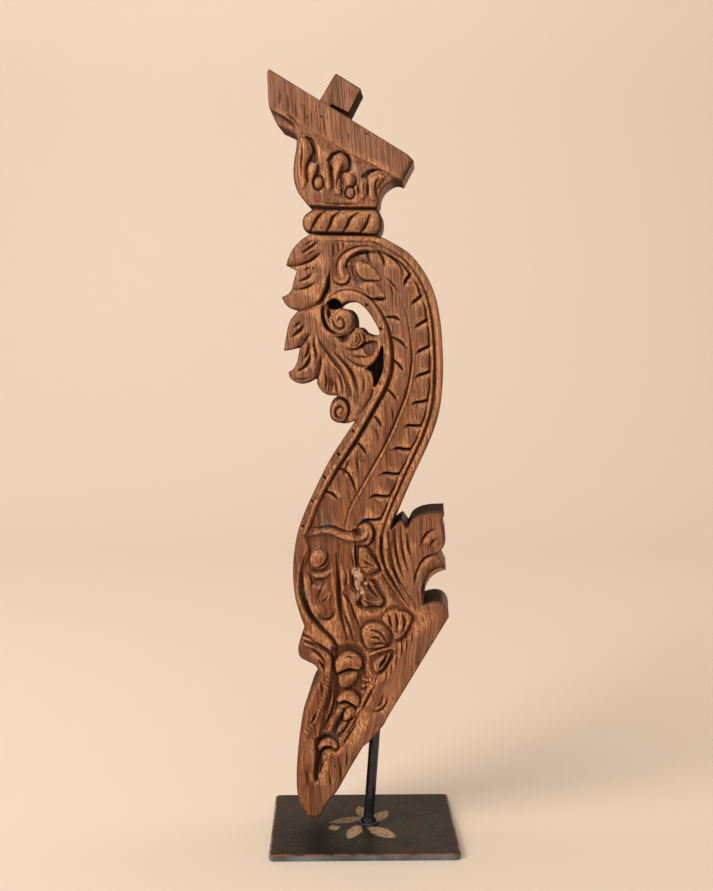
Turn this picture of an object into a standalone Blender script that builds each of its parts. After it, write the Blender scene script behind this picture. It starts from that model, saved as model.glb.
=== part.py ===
"""A carved wooden balcony bracket on its display stand, modelled in metres with +Z up.

One solid of timber, carved on the face at -Y and more plainly on the one at +Y, hangs on a leaning
steel rod over a steel plate. The origin is the middle of the plate's underside.
"""

import math

import bmesh
import bpy
import numpy as np
from mathutils import Matrix, Vector
from mathutils.geometry import delaunay_2d_cdt

# The wood.
BRACKET_HEIGHT = 0.6892
BRACKET_THICKNESS = 0.064
BRACKET_TURN = math.radians(-4.5)
TIP_GAP = 0.0142
TENON_WIDTH = 0.0294
TENON_LENGTH = 0.0284
TENON_TAPER = 0.0024
TENON_THICKNESS = 0.038
TENON_SETBACK = 0.012
TENON_ROOT = 0.010
TENON_BEVEL = 0.0009
KERF_START = 0.0105
KERF_LOW = -0.0006
KERF_NEAR_HEIGHT = 0.0038
KERF_FAR_HEIGHT = 0.0058
KERF_DEPTH = 0.006
# The stand.
PLATE_WIDTH = 0.175
PLATE_DEPTH = 0.140
PLATE_THICKNESS = 0.006
PLATE_CORNER = 0.005
PLATE_BEVEL = 0.0009
ROD_DIAMETER = 0.010
ROD_LEAN = math.radians(4.0)
ROD_FOOT = 0.0047
ROD_IN_WOOD = 0.070
FLARE_DIAMETER = 0.0135
FLARE_HEIGHT = 0.009
RING_DIAMETER = 0.020
RING_HEIGHT = 0.0028
# Touching pieces keep this gap.
CLEARANCE = 0.0003
# How finely the faces are carved, in drawing millimetres, and the triangles that are kept.
FRONT_STEP = 2.5
BACK_STEP = 3.4
KEPT_TRIANGLES = 7600

# The drawing: the bracket's side view in millimetres, u to the right and w up from the plate's
# underside. Each stretch has the radius of its worn or carved front edge, then its points: a smooth
# curve passes through them, and two stretches meet at a corner.
DRAWN_TIP = 20.2
DRAWN_HEIGHT = 689.2
DRAWN_THICKNESS = 64.0
TOP_SLOPE = [(-87.2, 709.4), (36.0, 634.2)]
S_BACK = [
    (8.6, 564.4), (20.0, 558.6), (36.8, 548.4), (49.8, 533.4), (59.8, 513.7), (65.3, 491.2),
    (67.9, 464.1), (68.5, 438.2), (65.6, 407.6), (58.2, 382.9), (42.9, 348.8), (30.0, 318.2),
    (23.0, 299.0),
]
WALL_FACE = [(75.6, 216.8), (18.8, 119.4)]
OUTLINE = [
    (1.6, TOP_SLOPE),
    (3.0, [(36.0, 634.2), (41.2, 629.0)]),
    (5.5, [(41.2, 629.0), (31.4, 610.6)]),
    (3.0, [(31.4, 610.6), (25.2, 612.0), (18.4, 609.0), (13.2, 604.0), (10.4, 597.5), (9.7, 591.5),
        (8.2, 587.0)]),
    (7.0, [(8.2, 587.0), (11.6, 583.0), (12.9, 575.5), (11.8, 568.5), (8.6, 564.4)]),
    (1.4, S_BACK),
    (2.0, [(23.0, 299.0), (27.0, 303.6), (31.5, 307.0)]),
    (2.0, [(31.5, 307.0), (35.0, 303.0), (37.3, 299.6)]),
    (2.0, [(37.3, 299.6), (41.0, 306.5), (47.0, 310.8), (56.0, 313.6), (70.4, 314.6)]),
    (1.4, [(70.4, 314.6), (70.4, 311.0), (68.0, 306.0)]),
    (3.0, [(68.0, 306.0), (70.0, 299.5), (71.8, 291.0), (70.6, 283.0), (65.5, 276.6), (63.5, 275.6)]),
    (2.0, [(63.5, 275.6), (68.2, 269.5), (72.6, 260.8)]),
    (3.0, [(72.6, 260.8), (65.0, 258.0), (58.5, 253.0), (54.4, 245.0), (52.4, 235.0), (52.0, 228.0)]),
    (1.8, [(52.0, 228.0), (57.5, 229.6), (64.5, 230.2), (70.8, 227.8), (74.2, 223.2), (75.6, 216.8)]),
    (1.6, WALL_FACE),
    (2.0, [(18.8, 119.4), (16.0, 113.4), (11.5, 107.6), (3.0, 97.4), (-3.6, 91.6)]),
    (2.4, [(-3.6, 91.6), (-17.6, 67.0), (-28.2, 47.6), (-37.6, 35.6), (-42.4, 25.6), (-46.0, 21.4),
        (-49.8, 20.2)]),
    (6.0, [
        (-49.8, 20.2), (-56.4, 22.4), (-61.6, 28.6), (-65.4, 41.0), (-66.6, 57.0), (-65.4, 82.0),
        (-63.0, 104.0), (-59.6, 125.0), (-56.0, 137.2), (-53.0, 145.6), (-50.0, 151.2), (-47.2, 156.4),
        (-44.6, 161.9),
    ]),
    (4.0, [(-44.6, 161.9), (-48.6, 168.2), (-55.5, 171.9), (-62.4, 176.2), (-64.2, 183.6), (-62.6, 192.0),
        (-58.3, 205.2)]),
    (3.4, [
        (-58.3, 205.2), (-63.0, 218.6), (-66.6, 232.0), (-68.5, 250.0), (-68.2, 268.0), (-64.7, 291.2),
        (-58.2, 311.2), (-47.6, 334.7), (-34.7, 360.6), (-20.6, 382.9), (-11.0, 397.2),
    ]),
    (5.0, [(-11.0, 397.2), (-15.5, 395.6), (-20.0, 394.6), (-28.2, 395.6), (-32.9, 399.0), (-34.3, 405.2),
        (-33.4, 411.6), (-30.4, 417.2), (-26.4, 420.0)]),
    (3.0, [(-26.4, 420.0), (-35.9, 420.9), (-42.0, 425.0), (-45.4, 431.2), (-45.9, 436.2)]),
    (4.0, [(-45.9, 436.2), (-51.2, 432.6), (-59.4, 430.8), (-66.8, 433.2), (-70.8, 437.4),
        (-71.6, 441.6)]),
    (3.0, [(-71.6, 441.6), (-67.4, 444.0), (-63.8, 450.6), (-62.2, 457.6), (-61.0, 464.2)]),
    (2.4, [(-61.0, 464.2), (-68.0, 461.8), (-75.6, 460.6)]),
    (3.0, [(-75.6, 460.6), (-74.2, 470.0), (-72.4, 479.6), (-69.8, 488.0), (-62.8, 496.6)]),
    (2.6, [(-62.8, 496.6), (-71.2, 500.0), (-75.0, 504.4), (-77.3, 509.0)]),
    (3.4, [(-77.3, 509.0), (-71.6, 511.8), (-68.4, 516.0), (-66.4, 523.6), (-63.5, 532.4)]),
    (2.4, [(-63.5, 532.4), (-69.0, 535.2), (-73.3, 537.4)]),
    (4.0, [(-73.3, 537.4), (-71.0, 544.6), (-66.8, 552.4), (-59.6, 560.0), (-52.2, 565.0)]),
    (7.0, [(-52.2, 565.0), (-56.4, 568.4), (-58.6, 574.8), (-57.0, 581.4), (-50.4, 587.2)]),
    (4.0, [
        (-50.4, 587.2), (-57.2, 595.2), (-62.4, 602.4), (-65.8, 612.4), (-66.4, 622.0), (-65.4, 632.0),
        (-63.6, 642.4), (-63.3, 650.2),
    ]),
    (3.0, [(-63.3, 650.2), (-67.2, 654.4), (-73.4, 657.8), (-80.2, 660.8)]),
    (2.4, [(-80.2, 660.8), (-84.4, 669.4), (-87.2, 676.4), (-88.0, 684.0), (-88.8, 706.8)]),
    (2.0, [(-88.8, 706.8), (-87.2, 709.4)]),
]
# The opening right through, under the arch of the inner rail.
OPENING = [
    (3.0, [(-26.2, 500.0), (-22.5, 503.2), (-16.8, 505.0), (-9.6, 504.4), (-3.8, 500.8), (1.8, 494.7),
        (6.2, 487.6), (9.8, 481.0), (11.4, 475.6)]),
    (2.0, [(11.4, 475.6), (6.5, 474.2), (1.8, 475.4), (-1.4, 476.8), (-3.6, 479.6), (-6.5, 481.3),
        (-10.2, 481.6)]),
    (3.0, [(-10.2, 481.6), (-10.5, 487.6), (-12.4, 493.4), (-16.6, 497.6), (-22.0, 498.8),
        (-26.2, 500.0)]),
]

# Gouges, as the width and the depth of the cut that each makes, in drawing millimetres.
FINE = (2.0, 2.0)
SMALL = (2.4, 2.6)
MEDIUM = (3.0, 3.2)
BROAD = (3.8, 3.6)
DEEP = (4.8, 4.8)
CRESCENT = (2.8, 3.4)


def smooth(points, step=1.5):
    """A curve through hand-chosen points, with a point every step millimetres or so."""
    p = np.array(points, float)
    if len(p) == 2:
        share = np.linspace(0, 1, max(int(np.linalg.norm(p[1] - p[0]) / step), 1) + 1)[:, None]
        return p[0] * (1 - share) + p[1] * share
    p = np.vstack([2 * p[0] - p[1], p, 2 * p[-1] - p[-2]])
    found = []
    for a, b, c, d in zip(p[:-3], p[1:-2], p[2:-1], p[3:]):
        t1 = math.sqrt(np.linalg.norm(b - a))
        t2 = t1 + math.sqrt(np.linalg.norm(c - b))
        t3 = t2 + math.sqrt(np.linalg.norm(d - c))
        count = max(int(np.linalg.norm(c - b) / step), 1)
        for t in np.linspace(t1, t2, count, endpoint=False):
            ab = a * (t1 - t) / t1 + b * t / t1
            bc = b * (t2 - t) / (t2 - t1) + c * (t - t1) / (t2 - t1)
            cd = c * (t3 - t) / (t3 - t2) + d * (t - t2) / (t3 - t2)
            abc = ab * (t2 - t) / t2 + bc * t / t2
            bcd = bc * (t3 - t) / (t3 - t1) + cd * (t - t1) / (t3 - t1)
            found.append(abc * (t2 - t) / (t2 - t1) + bcd * (t - t1) / (t2 - t1))
    found.append(p[-2])
    return np.array(found)


def beside(line, offset, first=0.0, last=1.0):
    """The line parallel to this one, offset to its left, between two shares of its length."""
    run = np.gradient(line, axis=0)
    run /= np.linalg.norm(run, axis=1)[:, None]
    moved = line + offset * np.column_stack([-run[:, 1], run[:, 0]])
    share = np.linspace(0, 1, len(line))
    return moved[(share >= first) & (share <= last)]


def along(line, distance):
    """The point and the direction at a distance along a line."""
    gaps = np.linalg.norm(np.diff(line, axis=0), axis=1)
    far = np.concatenate([[0], np.cumsum(gaps)])
    k = min(max(np.searchsorted(far, distance) - 1, 0), len(gaps) - 1)
    run = (line[k + 1] - line[k]) / gaps[k]
    return line[k] + run * (distance - far[k]), run


def spiral(centre, radius, end_radius, start, turn, count=40):
    """A spiral's points. The angles are in degrees, and a positive turn is anticlockwise."""
    share = np.linspace(0, 1, count)
    angle = np.radians(start + turn * share)
    reach = radius + (end_radius - radius) * share
    return np.column_stack([centre[0] + reach * np.cos(angle), centre[1] + reach * np.sin(angle)])


def ease(x):
    x = np.clip(x, 0, 1)
    return x * x * (3 - 2 * x)


class Relief:
    """Heights of the carved face over the sawn one, in drawing millimetres: a cut is below 0."""

    def __init__(self, points):
        self.u = points[:, 0]
        self.w = points[:, 1]
        self.h = np.zeros(len(points))

    def near_box(self, line, reach, rows=slice(None)):
        low = line.min(0) - reach
        high = line.max(0) + reach
        u = self.u[rows]
        w = self.w[rows]
        return np.nonzero((u > low[0]) & (u < high[0]) & (w > low[1]) & (w < high[1]))[0]

    def measure(self, line, reach):
        """The points near a line, with their distance from it, share along it and side of it."""
        rows = self.near_box(line, reach)
        gaps = np.linalg.norm(np.diff(line, axis=0), axis=1)
        far = np.concatenate([[0], np.cumsum(gaps)])
        best = np.full(len(rows), 1e9)
        share = np.zeros(len(rows))
        side = np.zeros(len(rows))
        block = 6
        for first in range(0, len(gaps), block):
            last = min(first + block, len(gaps))
            near = self.near_box(line[first:last + 1], reach, rows)
            u = self.u[rows[near]]
            w = self.w[rows[near]]
            for k in range(first, last):
                du, dw = (line[k + 1] - line[k]) / gaps[k]
                run = np.clip((u - line[k][0]) * du + (w - line[k][1]) * dw, 0, gaps[k])
                ou = u - line[k][0] - run * du
                ow = w - line[k][1] - run * dw
                d = np.hypot(ou, ow)
                closer = d < best[near]
                best[near[closer]] = d[closer]
                share[near[closer]] = (far[k] + run[closer]) / far[-1]
                side[near[closer]] = np.sign(du * ow - dw * ou)[closer]
        keep = best < reach
        return rows[keep], best[keep], share[keep], side[keep]

    def inside(self, loop, reach):
        """The points in or near a closed line, with their distance from it, negative outside."""
        closed = np.vstack([loop, loop[:1]])
        rows = self.near_box(closed, reach)
        u = self.u[rows]
        w = self.w[rows]
        within = np.zeros(len(rows), bool)
        for a, b in zip(closed[:-1], closed[1:]):
            if a[1] != b[1]:
                crosses = (a[1] > w) != (b[1] > w)
                within ^= crosses & (u < (b[0] - a[0]) * (w - a[1]) / (b[1] - a[1]) + a[0])
        edge = np.full(len(self.u), reach)
        found, d, _, _ = self.measure(closed, reach)
        edge[found] = d
        return rows, np.where(within, edge[rows], -edge[rows])

    def profile(self, path, width, ends, step):
        """How far across and how strong a stroke is at each point near it."""
        rows, d, share, side = self.measure(smooth(path, step), width / 2)
        start = ends[0] + (1 - ends[0]) * ease(share / 0.45)
        size = np.minimum(start, ends[1] + (1 - ends[1]) * ease((1 - share) / 0.45))
        across = np.clip(1 - (d / (width / 2 * np.maximum(size, 0.15))) ** 2, 0, 1)
        return rows, across, size

    def cut(self, path, gouge, ends=(0.0, 0.0), step=1.5):
        """A gouge cut. The ends say how much of its size is left at its start and its end."""
        rows, across, size = self.profile(path, gouge[0], ends, step)
        self.h[rows] -= gouge[1] * size * across

    def bead(self, path, width, height, ends=(0.0, 0.0), step=1.5):
        """A raised rib, round in section."""
        rows, across, size = self.profile(path, width, ends, step)
        self.h[rows] += height * size * np.sqrt(across)

    def stalk(self, path, width, height, base, ends=(1.0, 1.0), step=1.5):
        """A round stalk lying on a base height: it hides what is lower."""
        rows, across, size = self.profile(path, width, ends, step)
        top = base + height * size * np.sqrt(across)
        self.h[rows] = np.where(across > 0, np.maximum(self.h[rows], top), self.h[rows])

    def drop(self, path, width, depth, ends=(0.0, 0.0), wall=0.8):
        """A step down on the right of the path, which fades out over the width."""
        rows, d, share, side = self.measure(smooth(path), width)
        start = ends[0] + (1 - ends[0]) * ease(share / 0.45)
        size = np.minimum(start, ends[1] + (1 - ends[1]) * ease((1 - share) / 0.45))
        low = (1 - np.clip(d / (width * np.maximum(size, 0.2)), 0, 1)) ** 1.6
        self.h[rows] -= depth * size * np.where(side <= 0, low, np.clip(1 - d / wall, 0, 1))

    def level(self, path, height, soft=1.2):
        """Brings an area to a height, with an edge as wide as soft."""
        rows, d = self.inside(smooth(list(path) + [path[0]])[:-1], soft)
        self.h[rows] += (height - self.h[rows]) * ease(0.5 + d / soft)

    def swell(self, path, rise, edge):
        """Raises an area into a cushion: nothing at its edge, and rise further in than edge."""
        rows, d = self.inside(smooth(list(path) + [path[0]])[:-1], edge)
        share = np.clip(d / edge, 0, 1)
        self.h[rows] += rise * np.sqrt(1 - (1 - share) ** 2)

    def dome(self, centre, radii, height, base, angle=0.0):
        """A round knob that stands height over a base height."""
        a = math.radians(angle)
        x = (self.u - centre[0]) * math.cos(a) + (self.w - centre[1]) * math.sin(a)
        y = (self.w - centre[1]) * math.cos(a) - (self.u - centre[0]) * math.sin(a)
        off = (x / radii[0]) ** 2 + (y / radii[1]) ** 2
        rows = np.nonzero(off < 1)[0]
        self.h[rows] = np.maximum(self.h[rows], base + height * np.sqrt(1 - off[rows]))


# Lines that the carving follows.
BACK_LINE = smooth([(-34, 566.6), (-12, 565.4)] + S_BACK + [
    (20.4, 287.0), (20.8, 275.0), (24.6, 262.6), (31.5, 250.6), (39.5, 238.0), (47.0, 227.0),
])
INNER_LINE = smooth([
    (-38, 500), (-33, 509.6), (-27, 513.6), (-18, 515.6), (-8, 513.8), (2.4, 508), (11.5, 497),
    (18.4, 483.5), (21.8, 470), (22.9, 456), (21.8, 441), (16.5, 426), (6.4, 407.5), (-9.5, 379.8),
    (-28.4, 350), (-44.2, 320), (-49.6, 305.4), (-54.4, 292.6),
])
MIDRIB = [(13.5, 531), (20.5, 524), (27.5, 515), (33, 503.5), (37.5, 490.5), (40.5, 472.5), (42, 454.5),
    (40.5, 438.5), (37, 422), (30, 403), (19, 377.5), (4.5, 351), (-9, 327), (-15.5, 314), (-19, 298)]
# How far in from the back line the groove, the bead and the scales are.
GROOVE_INSET = 7.2
BEAD_INSET = 10.0
SCALE_INSET = 11.8
# Where the lower corner of each scale is along the back line.
SCALE_ENDS = (91.0, 115.7, 140.3, 165.2, 189.0, 216.6, 242.7, 267.7, 292.2, 314.4, 336.4)
# The two hanging drops of the capital: middle, then half width and half height.
DROPS = (((-43.7, 610.4), (4.6, 6.2)), ((-15.3, 601.4), (4.2, 5.2)))


def carve_block(r):
    """The block above stays plain: all that is under its slanting lower edge is set back."""
    edge = [
        (-90, 677.5), (-86.7, 675.4), (-73, 667.6), (-56.7, 659), (-43, 651.7), (-27.8, 643.3),
        (-13.3, 634.8), (1.1, 627.2), (15.6, 619.6), (30, 611.4), (34, 608.6),
    ]
    below = [(52, 590), (90, 560), (90, 300), (90, 10), (0, -10), (-110, 10), (-120, 300), (-110, 620)]
    r.level(edge + below, -2.2, soft=1.4)
    r.bead([(-84, 672.6), (-54, 656), (-22, 638.4), (-8, 630.4), (18, 616.4)], 5.0, 0.9, ends=(0.3, 0.2))
    r.drop([(-87, 674.5), (-75, 668), (-66, 662.5), (-58, 657.5)], 16, 1.6, ends=(0.8, 0.0), wall=0.6)
    for path in ([(-82, 672), (-72, 666), (-64, 658), (-61.5, 653)], [(-75, 671), (-65, 665),
        (-59, 656)]):
        r.cut(path, FINE, ends=(0.1, 0.1))
    for crack in (
        [(-78.5, 696), (-77, 686), (-78.5, 674)], [(-71, 691), (-70, 679), (-70.5, 666)], [(-64, 687.5),
            (-63, 673.5), (-63.5, 659.5)],
        [(-57, 684), (-55.5, 672), (-54.5, 656)], [(-50, 679.5), (-49, 666.5), (-49, 654.5)],
            [(-39, 672.5), (-37.5, 660.5), (-36.5, 647.5)],
        [(-18, 657.5), (-16, 648), (-16, 641)], [(-4, 655.5), (0, 652), (5, 650.5)],
    ):
        r.cut(crack, (1.5, 1.3), ends=(0.1, 0.0), step=0.8)


def carve_drop(r, centre, radii):
    """A hanging drop of wood in a sunk ring."""
    ring = np.array(centre) + spiral((0, 0), 1, 1, 0, 345, 24) * (np.array(radii) + 0.6)
    r.level(ring.tolist(), -7.0, soft=1.2)
    r.dome(centre, radii, 4.6, -6.6)


def carve_capital(r):
    """The bell between the block and the ring, with upright leaves and two drops."""
    bell = [
        (-66, 652), (-50, 651), (-30, 640), (-10, 629.5), (8, 620), (16, 612), (10, 598), (7, 586.5),
        (-50, 588), (-66, 604), (-70, 625),
    ]
    r.level(bell, -3.4, soft=6)
    low = np.nonzero((r.w < 603) & (r.w > 584) & (r.u < 12))[0]
    turn = np.clip((601 - r.w[low]) / 15.5, 0, 1)
    r.h[low] -= 3.4 * (1 - np.sqrt(1 - turn ** 2))
    for ground, height in (
        ([(-55.5, 651), (-52, 647.5), (-48.5, 640.5), (-47.5, 633.5), (-51, 630), (-46.5, 627.5),
            (-44, 631.5), (-45.5, 641.5), (-49, 649)], -6.4),
        ([(-36, 630), (-32, 636), (-27, 637), (-24, 637), (-29.5, 634), (-32, 628), (-30.5, 621),
            (-32.5, 621), (-34, 626.5)], -7.0),
        ([(-20.5, 635), (-17, 630), (-16, 623), (-20, 619.5), (-13.5, 621), (-13.5, 629.5), (-17, 635)],
            -5.6),
        ([(-5.5, 615.5), (-2, 619), (3.5, 622), (8.5, 621.5), (3.5, 619), (0.5, 615), (0.5, 611.5),
            (-1, 613)], -6.8),
    ):
        r.level(ground, height, soft=1.4)
    for leaf, rise, edge in (
        ([(-62.5, 639), (-59, 651), (-54.5, 649), (-51, 640.5), (-51, 632), (-53.5, 623), (-54.5, 607.5),
            (-58, 604), (-62, 616)], 2.4, 6),
        ([(-53, 625), (-49, 629), (-44.5, 628), (-44, 623), (-46.5, 616), (-49.5, 609), (-52, 611),
            (-53.5, 617)], 2.6, 4),
        ([(-41, 623), (-38.5, 628), (-35, 625.5), (-32.5, 616), (-31.5, 605.5), (-35, 602), (-38.5, 609),
            (-41, 616)], 2.4, 4),
        ([(-31.5, 624.5), (-28, 633.5), (-23.5, 635.5), (-19, 631.5), (-18, 625.5), (-22.5, 619.5),
            (-23.5, 610.5), (-22.5, 600), (-29.5, 599.5), (-30.5, 612.5)],
            3.2, 6),
        ([(-21.5, 614), (-18, 619.5), (-12.5, 617.5), (-12, 611.5), (-15.5, 606), (-19, 607)], 2.4, 4),
        ([(-8, 607), (-5.5, 614), (-2, 612), (0, 605), (-2, 596.5), (-6.5, 595.5)], 2.4, 4),
        ([(0.5, 610.5), (3.5, 617.5), (10.5, 619), (16, 615.5), (11.5, 608.5), (8, 601.5), (8, 594.5),
            (2.5, 594.5)], 3.0, 6),
    ):
        r.swell(leaf, rise, edge)
    for path, gouge, ends in (
        ([(-60, 649.5), (-58, 639), (-59, 625), (-57.5, 611)], SMALL, (0.2, 0.2)),
        ([(-55.5, 651), (-50, 644), (-48, 637), (-52, 630), (-54.5, 623), (-55.5, 614.5)], BROAD,
            (0.2, 0.2)),
        ([(-54, 619.5), (-53.5, 612.5), (-51, 609)], FINE, (0.3, 0.1)),
        ([(-44, 630), (-43, 623), (-47.5, 615), (-48.5, 609), (-46.5, 604.5), (-43, 603)], SMALL,
            (0.3, 0.4)),
        ([(-43, 621), (-39.5, 610.5), (-38.5, 603.5)], FINE, (0.4, 0.1)),
        ([(-36.5, 630), (-33, 623), (-31.5, 616), (-30.5, 607)], SMALL, (0.1, 0.2)),
        ([(-35, 630), (-30.5, 636), (-24, 637.5), (-19, 635), (-16, 629), (-17, 622), (-21.5, 619.5),
            (-23.5, 614), (-21.5, 609)], MEDIUM,
            (0.2, 0.5)),
        ([(-22.5, 632.5), (-21.5, 626.5), (-25, 617.5), (-27, 609), (-27, 600)], MEDIUM, (0.2, 0.1)),
        ([(-12, 618.5), (-10, 611.5), (-13.5, 606), (-18, 603.5), (-19, 599)], MEDIUM, (0.3, 0.4)),
        ([(-23.5, 607), (-22.5, 598.5)], FINE, (0.2, 0.1)),
        ([(-9, 610.5), (-8, 603.5), (-8, 597.5)], SMALL, (0.2, 0.2)),
        ([(0, 612), (0.5, 605), (0, 597.5)], SMALL, (0.3, 0.2)),
        ([(-4, 613), (-3, 605), (-3.5, 598)], FINE, (0.1, 0.1)),
        ([(-1, 615.5), (4, 620), (11.5, 621), (16.5, 618)], SMALL, (0.2, 0.0)),
        ([(14, 615.5), (8.5, 612), (7, 606), (8.5, 599), (10.5, 594.5)], SMALL, (0.1, 0.3)),
        ([(-48.5, 596), (-37.5, 592.5), (-20, 591.5), (2.5, 592)], FINE, (0.1, 0.1)),
        ([(-50, 589), (-33, 588), (-15.5, 587.5), (9.5, 587)], DEEP, (1, 1)),
    ):
        r.cut(path, gouge, ends)
    r.bead([(-56.5, 646), (-56, 633.5), (-57, 621.5), (-56.5, 609)], 2.4, 1.2, ends=(0.3, 0.3))
    carve_drop(r, *DROPS[0])
    carve_drop(r, *DROPS[1])


def carve_ring(r):
    """The rope-like ring: a half-round band cut by slanting grooves."""
    middle = 575.2
    half = 11.4
    rows = np.nonzero((np.abs(r.w - middle) < half) & (r.u > -62) & (r.u < 16))[0]
    across = (r.w[rows] - middle) / half
    r.h[rows] = -1.2 - 7.4 * (1 - np.sqrt(1 - across ** 2))
    for path in ([(-37.5, 586), (-43, 581), (-47.5, 574), (-51, 567)], [(-24.5, 585), (-30.5, 580),
        (-33.5, 572), (-37, 567)],
                 [(-8, 584), (-14.5, 579), (-18, 572), (-22.5, 566)], [(2.5, 581.5), (0.5, 576.5),
                     (-2, 571), (-6.5, 566)]):
        r.cut(path, BROAD, ends=(0.6, 0.6))
        r.drop(path, 9.0, 1.8, ends=(0.5, 0.5), wall=0.6)
    r.cut([(-55, 566.2), (-30, 565.4), (-8, 564.6), (12, 562.6)], DEEP, ends=(0.8, 0.8))


def carve_body(r):
    """The sunk field of the S-shaped body, between its edge band and its inner rail."""
    field = [
        (-30, 561), (-5, 559.5), (14, 554.5), (30, 544), (43, 529), (52.6, 510), (58.6, 484),
        (60.2, 455), (59, 430), (54.6, 402), (43.6, 371), (29.6, 339), (18.6, 313), (6, 296),
        (-20, 291), (-50, 294), (-46, 312), (-33, 340), (-15, 370), (5, 405), (20, 430), (24, 455),
        (22, 478), (12, 500), (-4, 514), (-20, 517), (-34, 512), (-38, 530),
    ]
    r.level(field, -4.0, soft=3)
    r.level([(-44, 563), (-28, 562), (-10, 557), (-22, 551), (-29, 541), (-31, 531), (-36, 520),
        (-40, 530)], -2.4, soft=5)


def border(distance, inset):
    """A place in from the back line, at a distance along it."""
    point, run = along(BACK_LINE, distance)
    return point + np.array([run[1], -run[0]]) * inset


def carve_scales(r):
    """The scales down the right of the midrib, each over the next, and the cuts on its left."""
    start = 58.0
    for k, end in enumerate(SCALE_ENDS):
        grow = k / (len(SCALE_ENDS) - 1)
        corner = border(end + 0.6, SCALE_INSET + 0.4 + grow)
        turn = border(end + 2.8, SCALE_INSET + 5.4 + grow)
        knee = border(end + 5, SCALE_INSET + 8.4 + 6 * grow)
        tip = border(end + 8.6 + 2.5 * grow, SCALE_INSET + 10.6 + 9 * grow)
        edge = [border(start, SCALE_INSET + 0.4), border((start + end) / 2, SCALE_INSET - 0.3),
            border(end - 7, SCALE_INSET), corner]
        tail = [corner, turn, knee, tip]
        r.drop((edge + tail[1:])[::-1], 4.4, 1.5, ends=(0.2, 0.3), wall=0.4)
        r.drop(tail[::-1], 13, 2.0, ends=(0.2, 0.8), wall=0.4)
        r.cut(edge, FINE, ends=(0.3, 1.0))
        r.cut(tail, CRESCENT, ends=(1.0, 0.0))
        start = end + 3.5
    for path in (
        [(8, 507), (13.5, 507), (18.5, 509)], [(18, 491.5), (25, 491), (32, 486.5)], [(23.5, 473),
            (30.5, 469), (38, 460)],
        [(25, 452), (29.5, 447.5), (34.5, 441)], [(19.5, 425.5), (24.5, 420), (28, 414)], [(7.5, 401),
            (11, 396.5), (14, 389.5)],
        [(-7.5, 376.5), (-3.5, 372), (0.5, 364.5)], [(-23.5, 353.5), (-18, 350), (-13.5, 342.5),
            (-9, 327.5)],
        [(-38.5, 333), (-31, 329.5), (-24.5, 323)],
    ):
        r.cut(path, CRESCENT, ends=(0.8, 0.0))
        r.drop(path, 8, 1.0, ends=(0.9, 0.1), wall=0.4)
    for path in ([(22.5, 413), (23.5, 398.5), (22.5, 395)], [(-10, 369), (-9, 357), (-6.5, 345.5)],
        [(-13.5, 366.5), (-19, 355.5), (-23, 343.5)],
                 [(11, 460), (17, 442), (20, 425.5)], [(4.5, 394.5), (10, 384), (10, 374.5)]):
        r.cut(path, FINE, ends=(0.1, 0.1))
    r.drop(MIDRIB, 8.0, 1.6, ends=(0.2, 0.5), wall=0.4)
    r.cut(beside(smooth(MIDRIB), -1.8, 0.03)[::6], FINE, ends=(0.2, 0.4))
    r.bead(MIDRIB, 2.4, 1.8, ends=(0.2, 0.6))


def carve_rails(r):
    """The groove and bead inside the back edge, and the inner rail with its worm holes."""
    r.cut(beside(BACK_LINE, -GROOVE_INSET)[4::6], (3.6, 3.2), ends=(0.3, 0.3))
    r.bead(beside(BACK_LINE, -BEAD_INSET, 0.04)[::6], 3.4, 1.6, ends=(0.3, 0.5))
    r.bead(beside(INNER_LINE, -3.4, 0.06)[::6], 3.6, 1.4, ends=(0.2, 0.6))
    r.bead(beside(INNER_LINE, -10.5, 0.3)[::6], 2.4, 0.8, ends=(0.2, 0.6))
    r.cut(INNER_LINE[::6], DEEP, ends=(0.3, 0.4))
    holes = beside(INNER_LINE, -6.4)
    for k in range(12):
        point = along(holes, 40 + 25.0 * k)[0]
        if k != 4:
            r.cut([point - (0.9, -0.9), point + (0.9, -0.9)], (2.6, 3.4), ends=(0.8, 0.5), step=0.4)


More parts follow.
